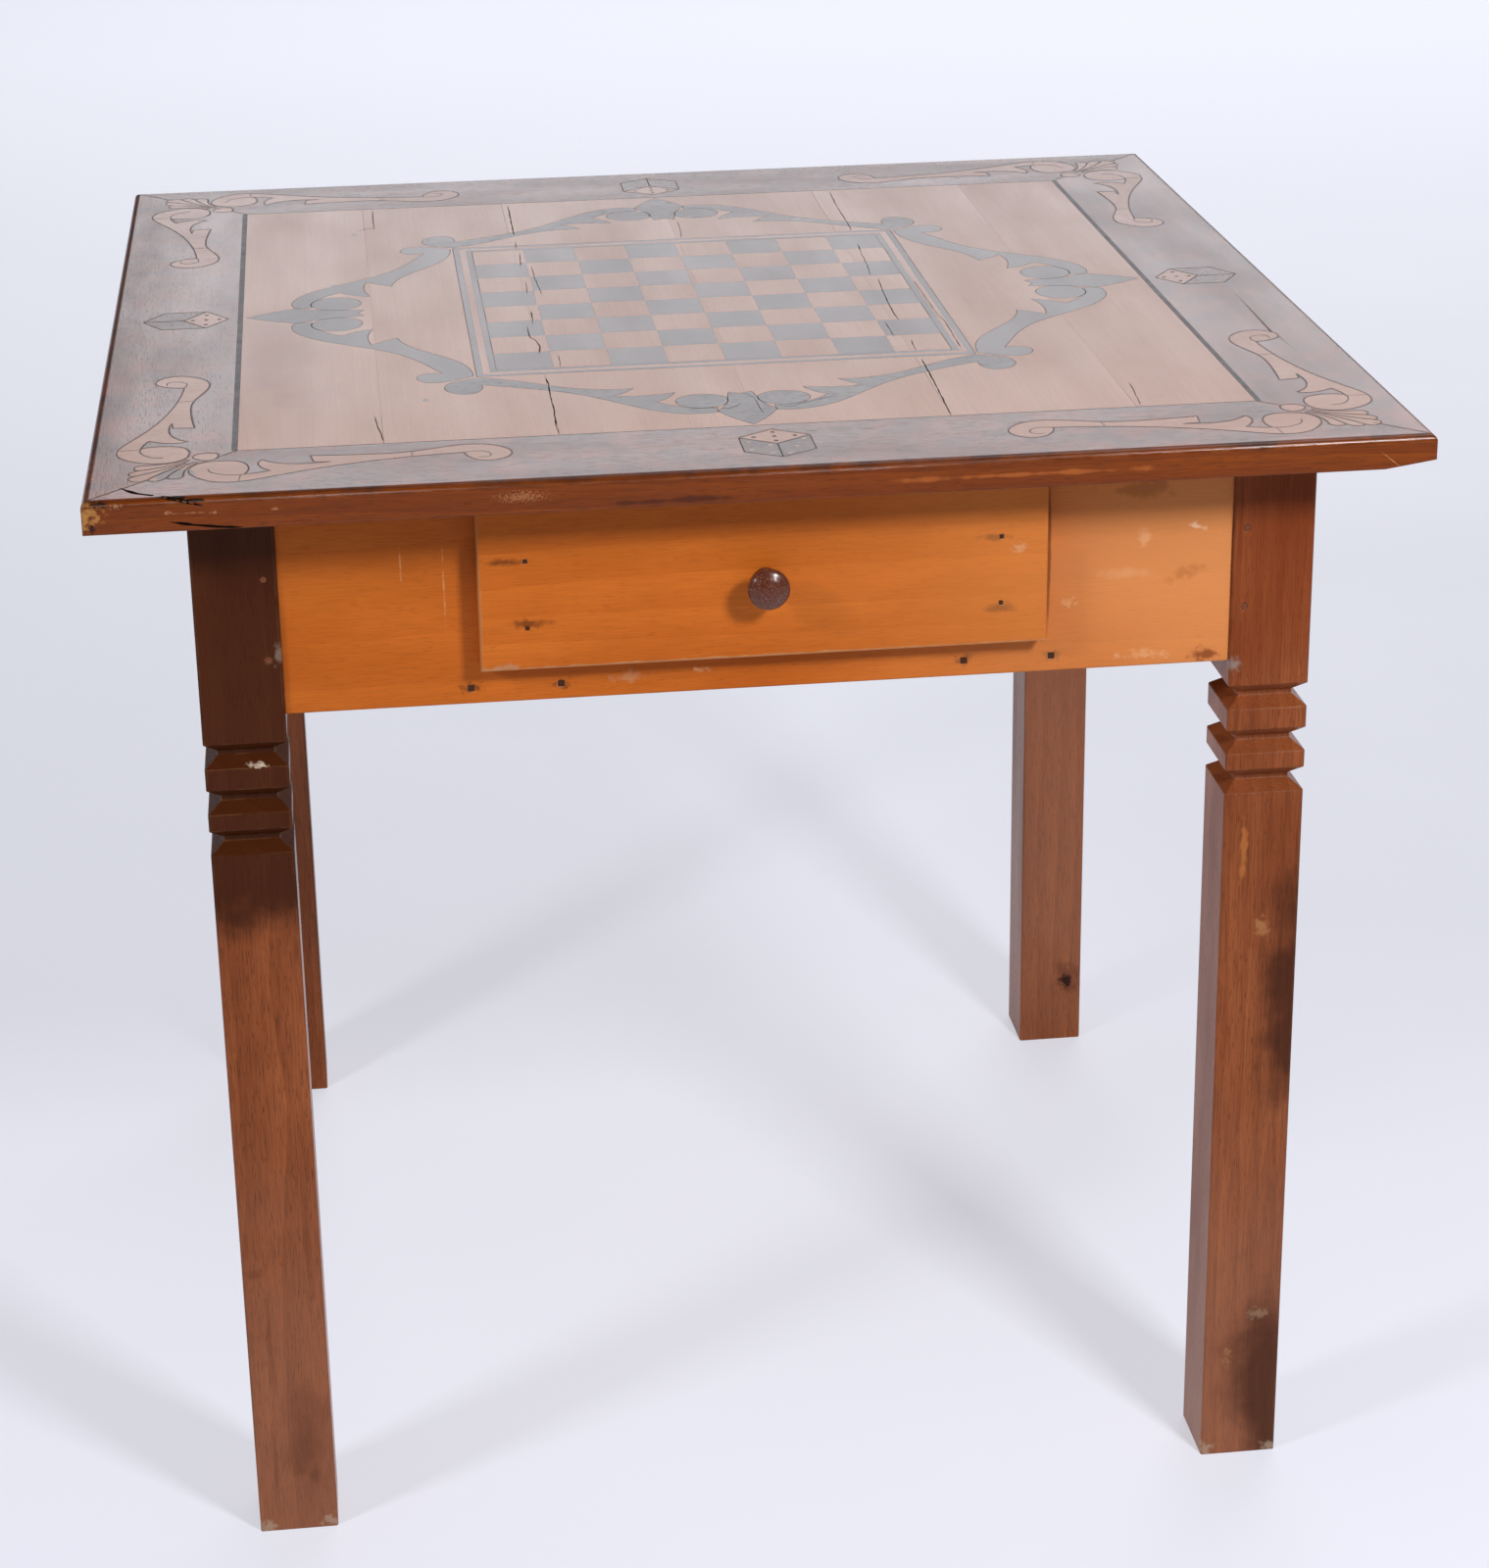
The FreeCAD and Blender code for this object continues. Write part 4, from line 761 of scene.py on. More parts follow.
# Lines cut in the corner scrolls, as places along the rail and outwards from the table's middle.
SCROLL_CUTS: tuple[tuple[float, tuple[Pair, ...]], ...] = (
    (0.8, ((313, 376), (319, 376.6), (325, 375), (329.5, 372.2), (332, 370), (334, 366), (334.5, 362))),
    (0.7, ((181, 353.5), (175, 351.6), (170, 352), (166, 355.5), (164.5, 360), (165.5, 363),
           (168, 364.5), (173, 364.5))),
    (0.5, ((212, 347), (212.6, 357.5))),
    (0.5, ((315, 377), (316, 389))),
)

# Pips of a die, as shares of the rail's width along the rail and out from the field.
DIE_TOP_PIPS: tuple[Pair, ...] = ((0, 0.28), (0, 0.18), (0.142, 0.28), (0, 0.38), (-0.142, 0.28))
DIE_FACE_PIPS: tuple[Pair, ...] = (
    (-0.054, 0.482), (-0.191, 0.389), (-0.054, 0.658), (-0.191, 0.571),
    (0.196, 0.363), (0.123, 0.525), (0.054, 0.68))

# Tones of the marks that come more than once.
CHIP_DIRT = "#140905"
EDGE_SCRATCH = "#B98458"
RUBBED = "#C08E62"
NAIL_STAIN = "#4E220A"
SCUFF = "#DDA97C"
DUST = "#AC7A62"
FLAME = "#4E2416"
LEG_STAIN = "#36190E"
# Looks of those that are all of one kind.
KNOT: Look = ("#160D08", 0.95, 0.4, 0.4, 2)
CHIP: Look = ("#A8743A", 0.9, 0.8, 0.2, 4)
CRACK_BLACK: Look = ("#120804", 0.95, 0.2, 0.6, 2)
RUBBED_SPECK: Look = (RUBBED, 0.4, 0.8, 0.0, 1.5)
APRON_NAIL: Look = (NAIL_STAIN, 0.65, 0.6, 0.2, 4)
LEFT_NAIL: Look = (NAIL_STAIN, 0.7, 0.4, 0.2, 5)
RIGHT_NAIL: Look = (NAIL_STAIN, 0.75, 0.4, 0.2, 5)
SCRATCH: Look = ("#D9A878", 0.4, 0.6, 0.1, 3)
LEG_DUST: Look = (DUST, 0.3, 0.1, 0.1, 50)
LONG_FLAME: Look = (FLAME, 0.3, 0.3, 0.0, 14)
SHORT_FLAME: Look = (FLAME, 0.3, 0.3, 0.0, 6)
FOOT_WEAR: Look = ("#B39B84", 0.6, 0.7, 0.2, 5)

FIELD_MARKS: dict[str, tuple[Mark, ...]] = {
    "field_board_1": (
        Mark((-253.9, 79.9, 750), (2.5, 5, 4), *KNOT),
        Mark((-236.1, 233.5, 750), (2.5, 4, 4), *KNOT),
        Mark((-290, -120, 750), (60, 190, 30), "#7A4622", 0.65, 0.3, 0.1, 40)),
    "field_board_2": (
        Mark((-199.6, -226.8, 750), (2.5, 5, 4), *KNOT),
        Mark((-164.5, 10.3, 750), (4, 9, 4), "#8A6420", 0.85, 0.5, 0.3, 3)),
}
# Old polish has darkened on the flat of the rails, and is rubbed off their edges.
TARNISH = Mark((0, 0, 754), (2000, 2000, 8), "#24140C", 0.72, 0.5, 0.2, 20)
RAIL_MARKS: dict[str, tuple[Mark, ...]] = {
    "front_frame_rail": (
        Mark((-407, -406, 742), (13, 10, 9), *CHIP),
        Mark((-397, -404, 747), (7, 7, 3), CHIP_DIRT, 0.9, 0.5, 0.4, 3),
        Mark((-402, -407, 734), (3, 5, 3), CHIP_DIRT, 0.9, 0.6, 0.4, 3),
        # Dirt in the crack that runs over the front round.
        Mark((-361, -402.5, 750), (5, 3, 3), *CRACK_BLACK),
        Mark((-352, -405.3, 749.3), (7, 2.5, 2), *CRACK_BLACK),
        Mark((-342, -406.8, 747.8), (8, 2.5, 1.4), *CRACK_BLACK),
        Mark((-150, -407.5, 740), (18, 4, 4), EDGE_SCRATCH, 0.35, 0.9, 0.0, 1.4),
        Mark((-387.5, -406, 746.3), (4, 4, 1.8), RUBBED, 0.6, 0.8, 0.0, 1.5),
        Mark((-357.2, -407.5, 741), (3, 4, 1.4), *RUBBED_SPECK),
        Mark((-344, -407.5, 740.4), (13, 4, 0.5), "#C08A5A", 0.4, 0.7, 0.1, 4),
        Mark((-330.8, -407.5, 739.9), (3, 4, 1.4), *RUBBED_SPECK),
        Mark((-294.4, -407.5, 740.2), (4, 4, 1.2), *RUBBED_SPECK),
        Mark((379.5, -407.5, 735), (10.5, 4, 0.5), EDGE_SCRATCH, 0.6, 0.3, 0.1, 4, 39.5),
        Mark((-60, -407.5, 733), (60, 4, 2.2), "#3A1504", 0.7, 0.6, 0.2, 14),
        Mark((150, -407.5, 738), (90, 4, 2.0), "#A85A24", 0.6, 0.6, 0.2, 16)),
    "right_frame_rail": (Mark((326.7, 166, 750), (6, 12, 4), "#1C0E08", 0.85, 0.6, 0.3, 5),),
    "left_frame_rail": (Mark((-407, -406, 742), (9, 12, 9), *CHIP),),
}
CORNER_MARKS: dict[str, tuple[Mark, ...]] = {
    "front_left": (Mark((-353, -364, 750), (13, 16, 8), "#3A1D0C", 0.94, 0.1, 0.75, 9),),
}
APRON_MARKS: tuple[Mark, ...] = (
    *(Mark((x, -347, 598), (8, 5, 4.5), *APRON_NAIL) for x in (-183, -127, 127, 183)),
    # Painted sheen: the right part of the apron is made lighter and paler, where the light from the
    # right reflects off its finish.
    Mark((320, -347, 655), (330, 80, 200), "#D3905A", 0.6, 0.1, 0.05, 120),
    Mark((241.4, -347, 672.7), (6, 4, 10), SCUFF, 0.4, 0.6, 0.0, 6),
    Mark((275.7, -347, 679.3), (6, 4, 2.4), "#E6C8AC", 0.55, 0.7, 0.1, 3, 20),
    Mark((267.3, -347, 647.9), (18, 4, 5), "#9A5826", 0.45, 0.6, 0.0, 8, -20),
    Mark((229.4, -347, 650), (24, 4, 5), SCUFF, 0.25, 0.6, 0.0, 12),
    Mark((193.7, -347, 632.5), (6, 4, 4), SCUFF, 0.4, 0.8, 0.0, 2.5),
    Mark((243.4, -347, 595), (24, 4, 4), SCUFF, 0.4, 0.8, 0.0, 5),
    Mark((-85.7, -347, 599.8), (14, 4, 4), "#B48A66", 0.45, 0.7, 0.0, 5),
    Mark((-40.2, -347, 602), (7, 4, 2.5), SCUFF, 0.55, 0.7, 0.0, 3),
    Mark((281.6, -347, 592.8), (11, 4, 6), "#6E2C0C", 0.75, 0.6, 0.2, 5),
    Mark((237.5, -347, 704.5), (24, 4, 7), "#7A3E12", 0.4, 0.6, 0.2, 9),
    Mark((-223, -347, 682), (0.8, 4, 18), *SCRATCH),
    Mark((-197, -347, 665), (0.8, 4, 28), *SCRATCH),
    # Painted shade: a dark line on the apron along the right edge of the drawer front.
    Mark((180, -347, 668), (2.4, 4, 62), "#5E2A0C", 0.7, 0.12, 0.5, 9))
DRAWER_MARKS: tuple[Mark, ...] = (
    Mark((-160, -362, 684.5), (17, 5, 3.4), *LEFT_NAIL),
    Mark((-148, -362, 644), (17, 5, 4.0), *LEFT_NAIL),
    Mark((144, -362, 684.2), (12, 5, 3.8), *RIGHT_NAIL),
    Mark((147, -362, 637.5), (12, 5, 4.4), *RIGHT_NAIL),
    Mark((158.8, -362, 676.8), (6, 5, 4), "#C9A080", 0.6, 0.8, 0.0, 2.5),
    Mark((-165, -362, 616), (15, 5, 2.6), "#A98262", 0.65, 0.7, 0.2, 5),
    Mark((0, -362, 614), (400, 5, 2.0), "#B98A5E", 0.65, 0.3, 0.3, 9),
    Mark((-176.6, -362, 670), (1.8, 5, 200), "#B07A4C", 0.6, 0.3, 0.3, 9),
    # Painted sheen: the right part of the drawer front is made lighter, where the light from the right
    # reflects off its finish.
    Mark((230, -362, 670), (260, 60, 200), "#CF8648", 0.4, 0.1, 0.05, 120))
LEG_MARKS: dict[str, tuple[Mark, ...]] = {
    "front_left": (
        Mark((-324, -324, 720), (500, 500, 305), "#361606", 0.88, 0.07, 0.82, 26),
        Mark((-299, -350, 628.2), (5, 7, 8), "#7A6458", 0.8, 0.5, 0.3, 4),
        Mark((-317.5, -350, 555.8), (7, 8, 1.8), "#D9C4AE", 0.8, 0.6, 0.2, 3),
        Mark((-324, -324, 20), (500, 500, 330), *LEG_DUST),
        Mark((-316, -350, 75), (20, 30, 60), "#4A2012", 0.35, 0.3, 0.0, 22),
        Mark((-342, -350, 197), (9, 6, 5), FLAME, 0.32, 0.3, 0.0, 6),
        Mark((-335, -350, 140), (3.2, 6, 60), FLAME, 0.32, 0.3, 0.0, 14),
        Mark((-337, -350, 52), (3.2, 6, 48), *LONG_FLAME),
        Mark((-306, -350, 220), (4, 6, 75), *LONG_FLAME),
        Mark((-322, -350, 46), (6, 6, 10), *SHORT_FLAME),
        Mark((-311, -350, 42), (5, 6, 13), *SHORT_FLAME),
        Mark((-345, -350, 3), (9, 9, 7), *FOOT_WEAR),
        Mark((-302, -350, 4), (8, 9, 7), *FOOT_WEAR)),
    "front_right": (
        Mark((324, -324, 690), (500, 500, 150), "#702C0C", 0.5, 0.1, 0.5, 30),
        Mark((295, -350, 645), (4, 30, 62), "#24100A", 0.7, 0.3, 0.3, 14),
        # Painted highlight: a grey-white spot on the lower left corner of the upper block.
        Mark((299, -350, 586), (8, 9, 7), "#8A857F", 0.6, 0.6, 0.1, 5),
        Mark((311.9, -350, 456), (3.4, 8, 30), "#B06A34", 0.65, 0.6, 0.2, 8),
        Mark((326, -350, 401), (6, 8, 9), "#B07A4E", 0.55, 0.6, 0.2, 5),
        Mark((324, -324, 20), (500, 500, 330), *LEG_DUST),
        Mark((352, -350, 350), (36, 90, 118), LEG_STAIN, 0.82, 0.25, 0.35, 34),
        Mark((350, -350, 55), (46, 90, 96), LEG_STAIN, 0.78, 0.25, 0.35, 34),
        Mark((334, -350, 110), (9, 8, 5), "#9A7A60", 0.6, 0.7, 0.2, 4),
        Mark((313, -350, 77), (5, 8, 8), "#A5744E", 0.55, 0.7, 0.2, 4),
        Mark((299, -350, 4), (8, 9, 8), *FOOT_WEAR),
        Mark((346, -350, 3), (8, 9, 7), *FOOT_WEAR)),
    "back_right": (
        Mark((324, 324, 300), (500, 500, 420), DUST, 0.35, 0.1, 0.3, 60),
        Mark((338, 298, 54.8), (16, 14, 24), "#5A2A1C", 0.5, 0.5, 0.1, 8),
        Mark((338, 298, 54.8), (7, 12, 8), "#1E0D0A", 0.9, 0.4, 0.4, 4)),
    "back_left": (Mark((-324, 324, 380), (120, 120, 420), "#5A4438", 0.4, 0.1, 0.1, 60),),
}


@dataclass
class Top:
    """Framed top with the board, its strings, its ornaments and the damage of long use.

    Sizes are in millimetres.

    Attributes:
        height: Height of the upper face.
        round_start: How far out the round of the front edge starts.
        round_base: Height at which that round ends.
        flush: How far below the upper face a place still counts as on it.
        board_count: Number of field boards.
        field_half: Half width of the field inside the frame.
        edge: Half width of the whole top.
        bud, tip: Where the corner ornament starts and ends on the mitre.
        sunk_corner: How far the front left ornament sits behind its place.
        die_shift: How far the front die sits to the right of the middle.
        rail_width: Width of a frame rail, which the dice are set out by.
        pip: Diameter of a pip on a die.
        pip_sides: Number of sides that a pip is drawn with.
        pip_profile: Share of the diameter and height of each ring of a pip, from below.
        closed_joints: From where to where each joint between two boards is closed.
        filling_depth: How far below the upper face the filling of those lies.
        worn_corner: What is worn off the front right corner, along the front, back and up.
        wedge_spread: How many times larger than that the face of the cutting wedge is.
        wedge_drop: How many times the wear's height the tip of the wedge lies below the rail.
        seam: Width of a glue line.
        wax_band: Width of the line at the sides of the field.
        level: Least Z of the normal of a face that is level.
        level_depth: How far below the upper face the level face of an inlay may lie.
    """

    height: ClassVar[float] = 750.0
    round_start: ClassVar[float] = 403.0
    round_base: ClassVar[float] = 745.5
    flush: ClassVar[float] = 0.02

    board_count: int = 6
    field_half: float = 317.5
    edge: float = 407.5
    bud: float = 326.0
    tip: float = 376.0
    sunk_corner: float = 9.0
    die_shift: float = 9.0
    rail_width: float = 90.0
    pip: float = 3.0
    pip_sides: int = 12
    pip_profile: tuple[Pair, ...] = ((1.0, -0.4), (1.0, 0.04), (0.6, 0.1))
    closed_joints: tuple[Pair, ...] = ((-255, 245), (-180, 205), (-316, 316), (-180, 175), (-260, 316))
    filling_depth: float = 0.01
    worn_corner: Triple = (32.0, 36.0, 4.6)
    wedge_spread: float = 1.5
    wedge_drop: float = 4.0
    seam: float = 0.6
    wax_band: float = 3.6
    level: float = 0.9
    level_depth: float = 0.1

    @staticmethod
    def seated(place: Vector) -> tuple[Vector, Vector]:
        """Brings a place near the front edge onto its round.

        Args:
            place: Place on or near the upper face or the front edge, in millimetres.

        Returns:
            The place on the surface, and the way the surface faces there.
        """
        out, up = place.y + Top.round_start, place.z - Top.round_base
        radius = Top.height - Top.round_base
        if out >= 0 or up >= radius - Top.flush:
            return place, Vector((0, 0, 1))
        if up <= 0:
            return place, Vector((0, -1, 0))
        facing = Vector((0, out, up)).normalized()
        axis = Vector((place.x, -Top.round_start, Top.round_base))
        return axis + facing * radius, facing

    def build(self) -> None:
        """Builds the seams, cracks and pips, and wears the front right corner."""
        work = LineWork()
        outlined = [f"{corner}_corner_inlay" for corner in CORNERS] + ["die_tops", "die_faces"]
        seams = [Line(loop, self.seam, closed=True)
                 for node in outlined for loop in self._outlines(node)]
        lines = [*seams, *self._mitres(), *self._scroll_cuts()]
        work.build("inlay_glue_lines", lines, GLUE, "dark_inlay")
        work.build("field_wax_lines", self._field_edge(), POLISH, "frame_wood")
        closed = [Line(on_top((x, near), (x, far)), self.seam) for x, near, far in self._joints()]
        sunk = LineWork(proud_mm=-self.filling_depth)
        sunk.build("joint_filling", closed, SHELLAC, "field_wood")
        cracks = [Line(on_top(*run), width, crack=True) for width, run in BOARD_CRACKS]
        cracks += [Line(run, width, crack=True) for width, run in EDGE_CRACKS]
        work.build("board_cracks", cracks, DIRT, "dark_inlay")
        self._build_pips()
        self._wear_corner()

    def _outlines(self, node: str) -> Iterator[tuple[Triple, ...]]:
        """Finds the outlines of an inlay on the upper face.

        Args:
            node: CAD node of the inlay.

        Yields:
            The places round each of its pieces, in millimetres.
        """
        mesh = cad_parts[node].data
        lowest = (self.height - self.level_depth) * MM
        sides = {(a, b) for face in mesh.polygons
                 if face.normal.z > self.level and face.center.z > lowest
                 for a, b in zip(face.vertices, (*face.vertices[1:], face.vertices[0]))}
        ways = {a: b for a, b in sorted(sides) if (b, a) not in sides}
        while ways:
            start, here = ways.popitem()
            loop = [start]
            while here in ways:
                loop.append(here)
                here = ways.pop(here)
            yield tuple(tuple(mesh.vertices[i].co / MM) for i in loop)

    def _joints(self) -> Iterator[Triple]:
        """Finds the joints between the boards.

        Yields:
            X of each joint, and from where to where it is closed, in millimetres.
        """
        for i, (near, far) in enumerate(self.closed_joints):
            left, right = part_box(f"field_board_{i + 1}"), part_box(f"field_board_{i + 2}")
            yield (left[1].x + right[0].x) / 2 / MM, near, far

    def _mitres(self) -> Iterator[Line]:
        """Sets out the mitre joints.

        Yields:
            The two parts of each, which the corner ornament breaks.
        """
        for x, y in ((-1, -1), (1, -1), (1, 1), (-1, 1)):
            for near, far in ((self.field_half, self.bud), (self.tip, self.round_start)):
                yield Line(on_top((x * near, y * near), (x * far, y * far)), self.seam)

    def _field_edge(self) -> Iterator[Line]:
        """Sets out the lines round the field.

        Yields:
            The lines, broad at its sides and thin in front and behind.
        """
        half = self.field_half
        for way in (-1, 1):
            beside, before = way * (half + self.wax_band / 2), way * (half + self.seam / 2)
            yield Line(on_top((beside, -half), (beside, half)), self.wax_band)
            yield Line(on_top((-half, before), (half, before)), self.seam)

    def _scroll_cuts(self) -> Iterator[Line]:
        """Sets out the lines cut in the eight corner scrolls.

        Yields:
            The lines of one scroll after another.
        """
        for quarter in range(4):
            turn = Matrix.Rotation(quarter * pi / 2, 2)
            for end in (-1, 1):
                front_left = (quarter, end) in ((0, -1), (3, 1))
                back = Vector((0, self.sunk_corner if front_left else 0))
                for width, run in SCROLL_CUTS:
                    places = (turn @ Vector((end * along, -out)) + back for along, out in run)
                    yield Line(on_top(*(p.to_tuple() for p in places)), width)

    def _build_pips(self) -> None:
        """Builds the pips of the four dice: dark on the pale top, pale on the dark faces."""
        for name, spots, finish, slot in (("die_dark_pips", DIE_TOP_PIPS, GLUE, "dark_inlay"),
                                          ("die_pale_pips", DIE_FACE_PIPS, BONE, "light_inlay")):
            shape = bmesh.new()
            for quarter in range(4):
                turn = Matrix.Rotation(quarter * pi / 2, 3, "Z")
                shift = 0 if quarter else self.die_shift
                for along, out in spots:
                    across = along * self.rail_width + shift
                    before = -self.field_half - out * self.rail_width
                    self._add_pip(shape, turn @ Vector((across, before, self.height)))
            piece_of(name, shape, finish.material(), slot)

    def _add_pip(self, shape: bmesh.types.BMesh, place: Vector) -> None:
        """Adds one pip, a plug with a low crown.

        Args:
            shape: Mesh that receives it.
            place: Its middle on the upper face, in millimetres.
        """
        turns = [2 * pi * i / self.pip_sides for i in range(self.pip_sides)]
        rings = []
        for share, rise in self.pip_profile:
            around = (Vector((cos(a) * share * self.pip / 2, sin(a) * share * self.pip / 2, rise))
                      for a in turns)
            rings.append([shape.verts.new((place + p) * MM) for p in around])
        shape.faces.new(rings[0][::-1])
        shape.faces.new(rings[-1])
        for low, high in zip(rings, rings[1:]):
            for i in range(self.pip_sides):
                shape.faces.new((low[i - 1], low[i], high[i], high[i - 1]))

    def _wear_corner(self) -> None:
        """Rubs the lower front right corner off the frame, by a wedge that is never shown."""
        along, back, up = self.worn_corner
        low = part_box("front_frame_rail")[0].z / MM
        face = [Vector((self.edge - along, -self.edge, low)),
                Vector((self.edge, back - self.edge, low)),
                Vector((self.edge, -self.edge, low + up))]
        middle = sum(face, Vector()) / 3
        spread = [middle + (p - middle) * self.wedge_spread for p in face]
        beyond = Vector((self.edge + along, -self.edge - back, low - self.wedge_drop * up))
        shape = bmesh.new()
        points = [shape.verts.new(p * MM) for p in (*spread, beyond)]
        for trio in ((0, 1, 2), (0, 1, 3), (1, 2, 3), (2, 0, 3)):
            shape.faces.new([points[i] for i in trio])
        wedge = placed("worn_corner_wedge", mesh_of("worn_corner_wedge", shape))
        wedge.hide_render = wedge.hide_viewport = True
        wedge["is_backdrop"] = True
        for side in ("front", "right"):
            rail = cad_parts[f"{side}_frame_rail"]
            cut = rail.modifiers.new("worn_corner", "BOOLEAN")
            cut.object, cut.operation, cut.solver = wedge, "DIFFERENCE", "EXACT"

    def dress(self) -> None:
        """Dresses the boards, rails and inlays, each with a figure of its own number."""
        for i in range(self.board_count):
            node = f"field_board_{i + 1}"
            marks = FIELD_MARKS.get(node, ())
            dress(node, FIELD_WOOD.material(node, GrainAxis.Y, i + 3, marks))
        for i, side in enumerate(SIDES):
            rail, scroll = f"{side}_frame_rail", f"{side}_scroll_inlay"
            marks = (TARNISH, *RAIL_MARKS.get(rail, ()))
            dress(rail, FRAME_WOOD.material(rail, way_of(side), i + 11, marks))
            dress(scroll, DARK_INLAY.material(scroll, way_of(side), i + 17))
        for i, corner in enumerate(CORNERS):
            node = f"{corner}_corner_inlay"
            marks = CORNER_MARKS.get(corner, ())
            dress(node, LIGHT_INLAY.material(node, GrainAxis.X, i + 23, marks))
        for i, node in enumerate(("outer_stringing", "inner_stringing")):
            dress(node, DARK_INLAY.material(node, GrainAxis.Y, i + 31))
        dress("die_faces", DIE_INLAY.material("die_faces", GrainAxis.X, 33))
        dress("dark_squares", SQUARE_INLAY.material("dark_squares", GrainAxis.Y, 34))
        for i, node in enumerate(("light_stringing", "die_tops")):
            dress(node, LIGHT_INLAY.material(node, GrainAxis.Y, i + 37))


@dataclass
class Stand:
    """Legs, aprons and what holds them together.

    Attributes:
        slides: What the drawer runs on and between.
    """

    slides: tuple[str, ...] = ("drawer_runner_left", "drawer_runner_right", "drawer_guide_left",
                               "drawer_guide_right")

    def build(self) -> None:
        """Leaves the shapes as the frame gives them."""

    def dress(self) -> None:
        """Dresses the legs, aprons, blocks, pegs and screws."""
        for i, corner in enumerate(CORNERS):
            leg, block = f"{corner}_leg", f"{corner}_corner_block"
            dress(leg, LEG_WOOD.material(leg, GrainAxis.Z, i + 41, LEG_MARKS[corner]))
            dress(block, INNER_WOOD.material(block, GrainAxis.Z, i + 47))
        for i, side in enumerate(SIDES):
            apron = f"{side}_apron"
            marks = APRON_MARKS if side == "front" else ()
            dress(apron, APRON_WOOD.material(apron, way_of(side), i + 53, marks))
        for i, node in enumerate(self.slides):
            dress(node, INNER_WOOD.material(node, GrainAxis.Y, i + 59))
        dress("tenon_pegs", PEG_WOOD.material("tenon_pegs", GrainAxis.X, 67))
        rust = RUST.material()
        for node in ("top_screws", "runner_nails"):
            dress(node, rust)


@dataclass
class Drawer:
    """The drawer with its front, knob and box.

    Attributes:
        box_nodes: The box behind the front.
    """

    box_nodes: tuple[str, ...] = ("drawer_side_left", "drawer_side_right", "drawer_back",
                                  "drawer_bottom")

    def build(self) -> None:
        """Leaves the shapes as the frame gives them."""

    def dress(self) -> None:
        """Dresses the drawer."""
        dress("drawer_front", APRON_WOOD.material("drawer_front", GrainAxis.X, 71, DRAWER_MARKS))
        dress("drawer_knob", KNOB_WOOD.material("drawer_knob", GrainAxis.Y, 73))
        dress("drawer_nails", RUST.material())
        for i, node in enumerate(self.box_nodes):
            axis = GrainAxis.X if node == "drawer_back" else GrainAxis.Y
            dress(node, INNER_WOOD.material(node, axis, i + 79))


@dataclass(frozen=True)
class Softbox:
    """A soft light that the camera doesn't see.

    Attributes:
        name: Name of the light.
        place: Where it stands, in metres.
        target: What it points at.
        size: Width and height of its face, in metres.
        watts: Its power.
        tone: Its colour.
    """

    name: str
    place: Triple
    target: Triple
    size: Pair
    watts: float
    tone: str = "#FFFFFF"

    def build(self) -> None:
        """Builds the light."""
        data = bpy.data.lights.new(self.name, "AREA")
        data.shape = "RECTANGLE"
        data.size, data.size_y = self.size
        data.energy = self.watts
        data.color = linear(self.tone)[:3]
        light = placed(self.name, data)
        light.location = self.place
        ahead = Vector(self.target) - Vector(self.place)
        light.rotation_euler = ahead.to_track_quat("-Z", "Y").to_euler()
        light.visible_camera = False


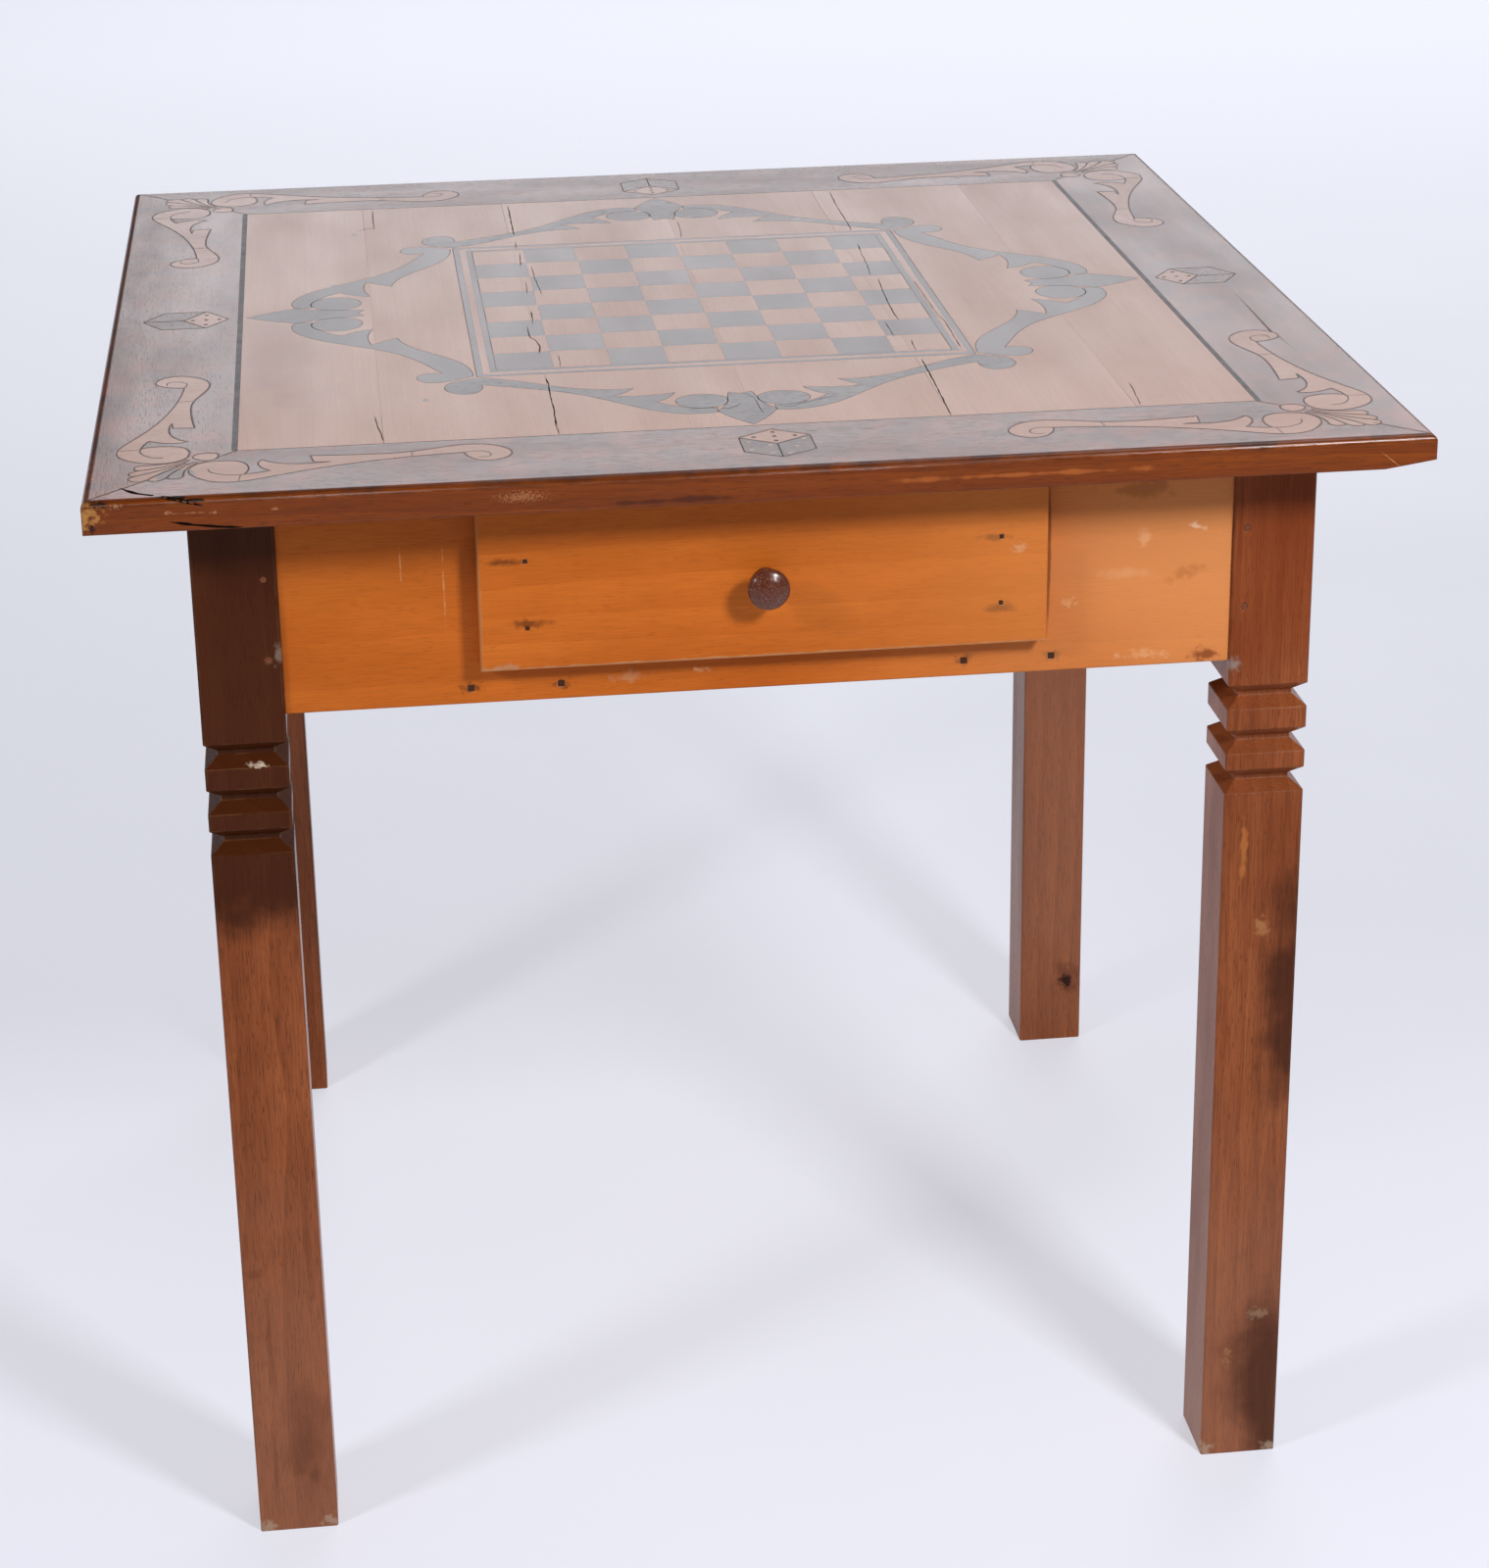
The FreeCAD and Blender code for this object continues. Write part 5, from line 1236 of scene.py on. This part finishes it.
@dataclass
class Studio:
    """Pale floor, soft lights and the camera.

    Attributes:
        image_height: Rows of the photograph.
        focal_px: Focal length, in those pixels.
        centre_row: Row of the optical axis.
        eye: Place of the camera, in metres.
        yaw, pitch, roll: Turns of the camera, in degrees.
        sensor_mm: Long side of the camera's sensor.
        floor_half: Half width of the floor, in metres.
        floor_tone: Colour of the floor.
        floor_roughness: Roughness of the floor between its scuffs, and in them.
        scuffs_per_metre: How many scuffs come in a metre of it.
        glow_tone: Colour of the light that the floor gives by itself, as one lit from below does.
        floor_glow: Strength of that at the table, and far behind it.
        glow_reach: Distances behind the table between which it rises, in metres.
        sky_tone: Colour of the light from all round.
        sky_strength: Strength of that.
        softboxes: The lights.
    """

    image_height: int = 1600
    focal_px: float = 3599.4
    centre_row: float = 700.0
    eye: Triple = (-0.2514, -2.4008, 1.3741)
    yaw: float = -6.642
    pitch: float = 20.788
    roll: float = 0.896
    sensor_mm: float = 36.0
    floor_half: float = 15.0
    floor_tone: str = "#B2B4C0"
    floor_roughness: Pair = (0.55, 0.75)
    scuffs_per_metre: float = 3.0
    glow_tone: str = "#E8EAF2"
    floor_glow: Pair = (0.56, 0.75)
    glow_reach: Pair = (0.5, 5.0)
    sky_tone: str = "#F2F4FA"
    sky_strength: float = 0.12
    softboxes: tuple[Softbox, ...] = (
        Softbox("right_softbox", (0.8, -1.6, 1.62), (0, 0, 0.5), (0.3, 0.3), 26),
        Softbox("left_softbox", (-1.8, -1.3, 1.7), (0, 0, 0.5), (0.35, 0.35), 20.5),
        Softbox("back_panel", (2.25, 6.5, 3.85), (0.5, 0, 1.2), (7.0, 4.0), 189, "#FDFAFF"),
        Softbox("top_fill", (0, 0.6, 3.4), (0, 0, 0.7), (2.4, 2.4), 8),
    )

    def build(self) -> None:
        """Builds the floor, the lights and the camera."""
        self.build_floor()
        for softbox in self.softboxes:
            softbox.build()
        self.build_sky()
        self.build_camera()

    def build_floor(self) -> None:
        """Builds the floor: matt painted board with faint scuffs."""
        reach = self.floor_half
        corners = [(-reach, -reach, 0), (reach, -reach, 0), (reach, reach, 0), (-reach, reach, 0)]
        mesh = bpy.data.meshes.new("floor")
        mesh.from_pydata(corners, [], [(0, 1, 2, 3)])
        placed("floor", mesh)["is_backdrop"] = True
        made, tree, place = blank("painted_board_matt")
        scuff = add(tree, "ShaderNodeTexNoise",
                    {"Vector": place, "Scale": self.scuffs_per_metre, "Detail": 5.0})
        clean, scuffed = self.floor_roughness
        dull = add(tree, "ShaderNodeMapRange",
                   {"Value": scuff.outputs[0], "To Min": clean, "To Max": scuffed})
        along = add(tree, "ShaderNodeSeparateXYZ", {0: place}).outputs["Y"]
        (near, far), (faint, bright) = self.glow_reach, self.floor_glow
        glow = add(tree, "ShaderNodeMapRange",
                   {"Value": along, "From Min": near, "From Max": far, "To Min": faint,
                    "To Max": bright})
        shader = add(tree, "ShaderNodeBsdfPrincipled",
                     {"Base Color": linear(self.floor_tone), "Roughness": dull.outputs[0],
                      "Emission Color": linear(self.glow_tone), "Emission Strength": glow.outputs[0]})
        add(tree, "ShaderNodeOutputMaterial", {"Surface": shader.outputs[0]})
        mesh.materials.append(made)

    def build_sky(self) -> None:
        """Fills the room with even pale light."""
        world = bpy.data.worlds.new("studio_fill")
        world.use_nodes = True
        shade = world.node_tree.nodes["Background"]
        shade.inputs["Color"].default_value = linear(self.sky_tone)
        shade.inputs["Strength"].default_value = self.sky_strength
        bpy.context.scene.world = world
        bpy.context.scene.view_settings.view_transform = "Standard"

    def build_camera(self) -> None:
        """Stands the camera where the photograph was taken from."""
        pitch, roll = radians(self.pitch), radians(self.roll)
        level_up = Vector((0, sin(pitch), cos(pitch)))
        level_right = Vector((1, 0, 0))
        ahead = Vector((0, cos(pitch), -sin(pitch)))
        right = level_right * cos(roll) - level_up * sin(roll)
        up = level_right * sin(roll) + level_up * cos(roll)
        level_turn = Matrix.Rotation(radians(self.yaw), 3, "Z")
        facing = level_turn @ Matrix((right, up, -ahead)).transposed()
        data = bpy.data.cameras.new("camera")
        data.sensor_width = self.sensor_mm
        data.lens = self.sensor_mm * self.focal_px / self.image_height
        data.shift_y = (self.centre_row - self.image_height / 2) / self.image_height
        camera = placed("camera", data)
        camera.matrix_world = Matrix.Translation(self.eye) @ facing.to_4x4()
        bpy.context.scene.camera = camera


def write_sizes() -> None:
    """Works out the box of the CAD model and that of the dressed one, and keeps neither."""
    boxes = {"cad": CAD_BOX, "visual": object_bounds()}
    {name: [list(corner) for corner in box] for name, box in boxes.items()}


def main() -> None:
    """Builds the table's looks and the studio."""
    logging.basicConfig(level=logging.INFO, format="%(message)s")
    Studio().build()
    for assembly in (Top(), Stand(), Drawer()):
        assembly.build()
        assembly.dress()
    write_sizes()


if __name__ == "__main__":
    main()
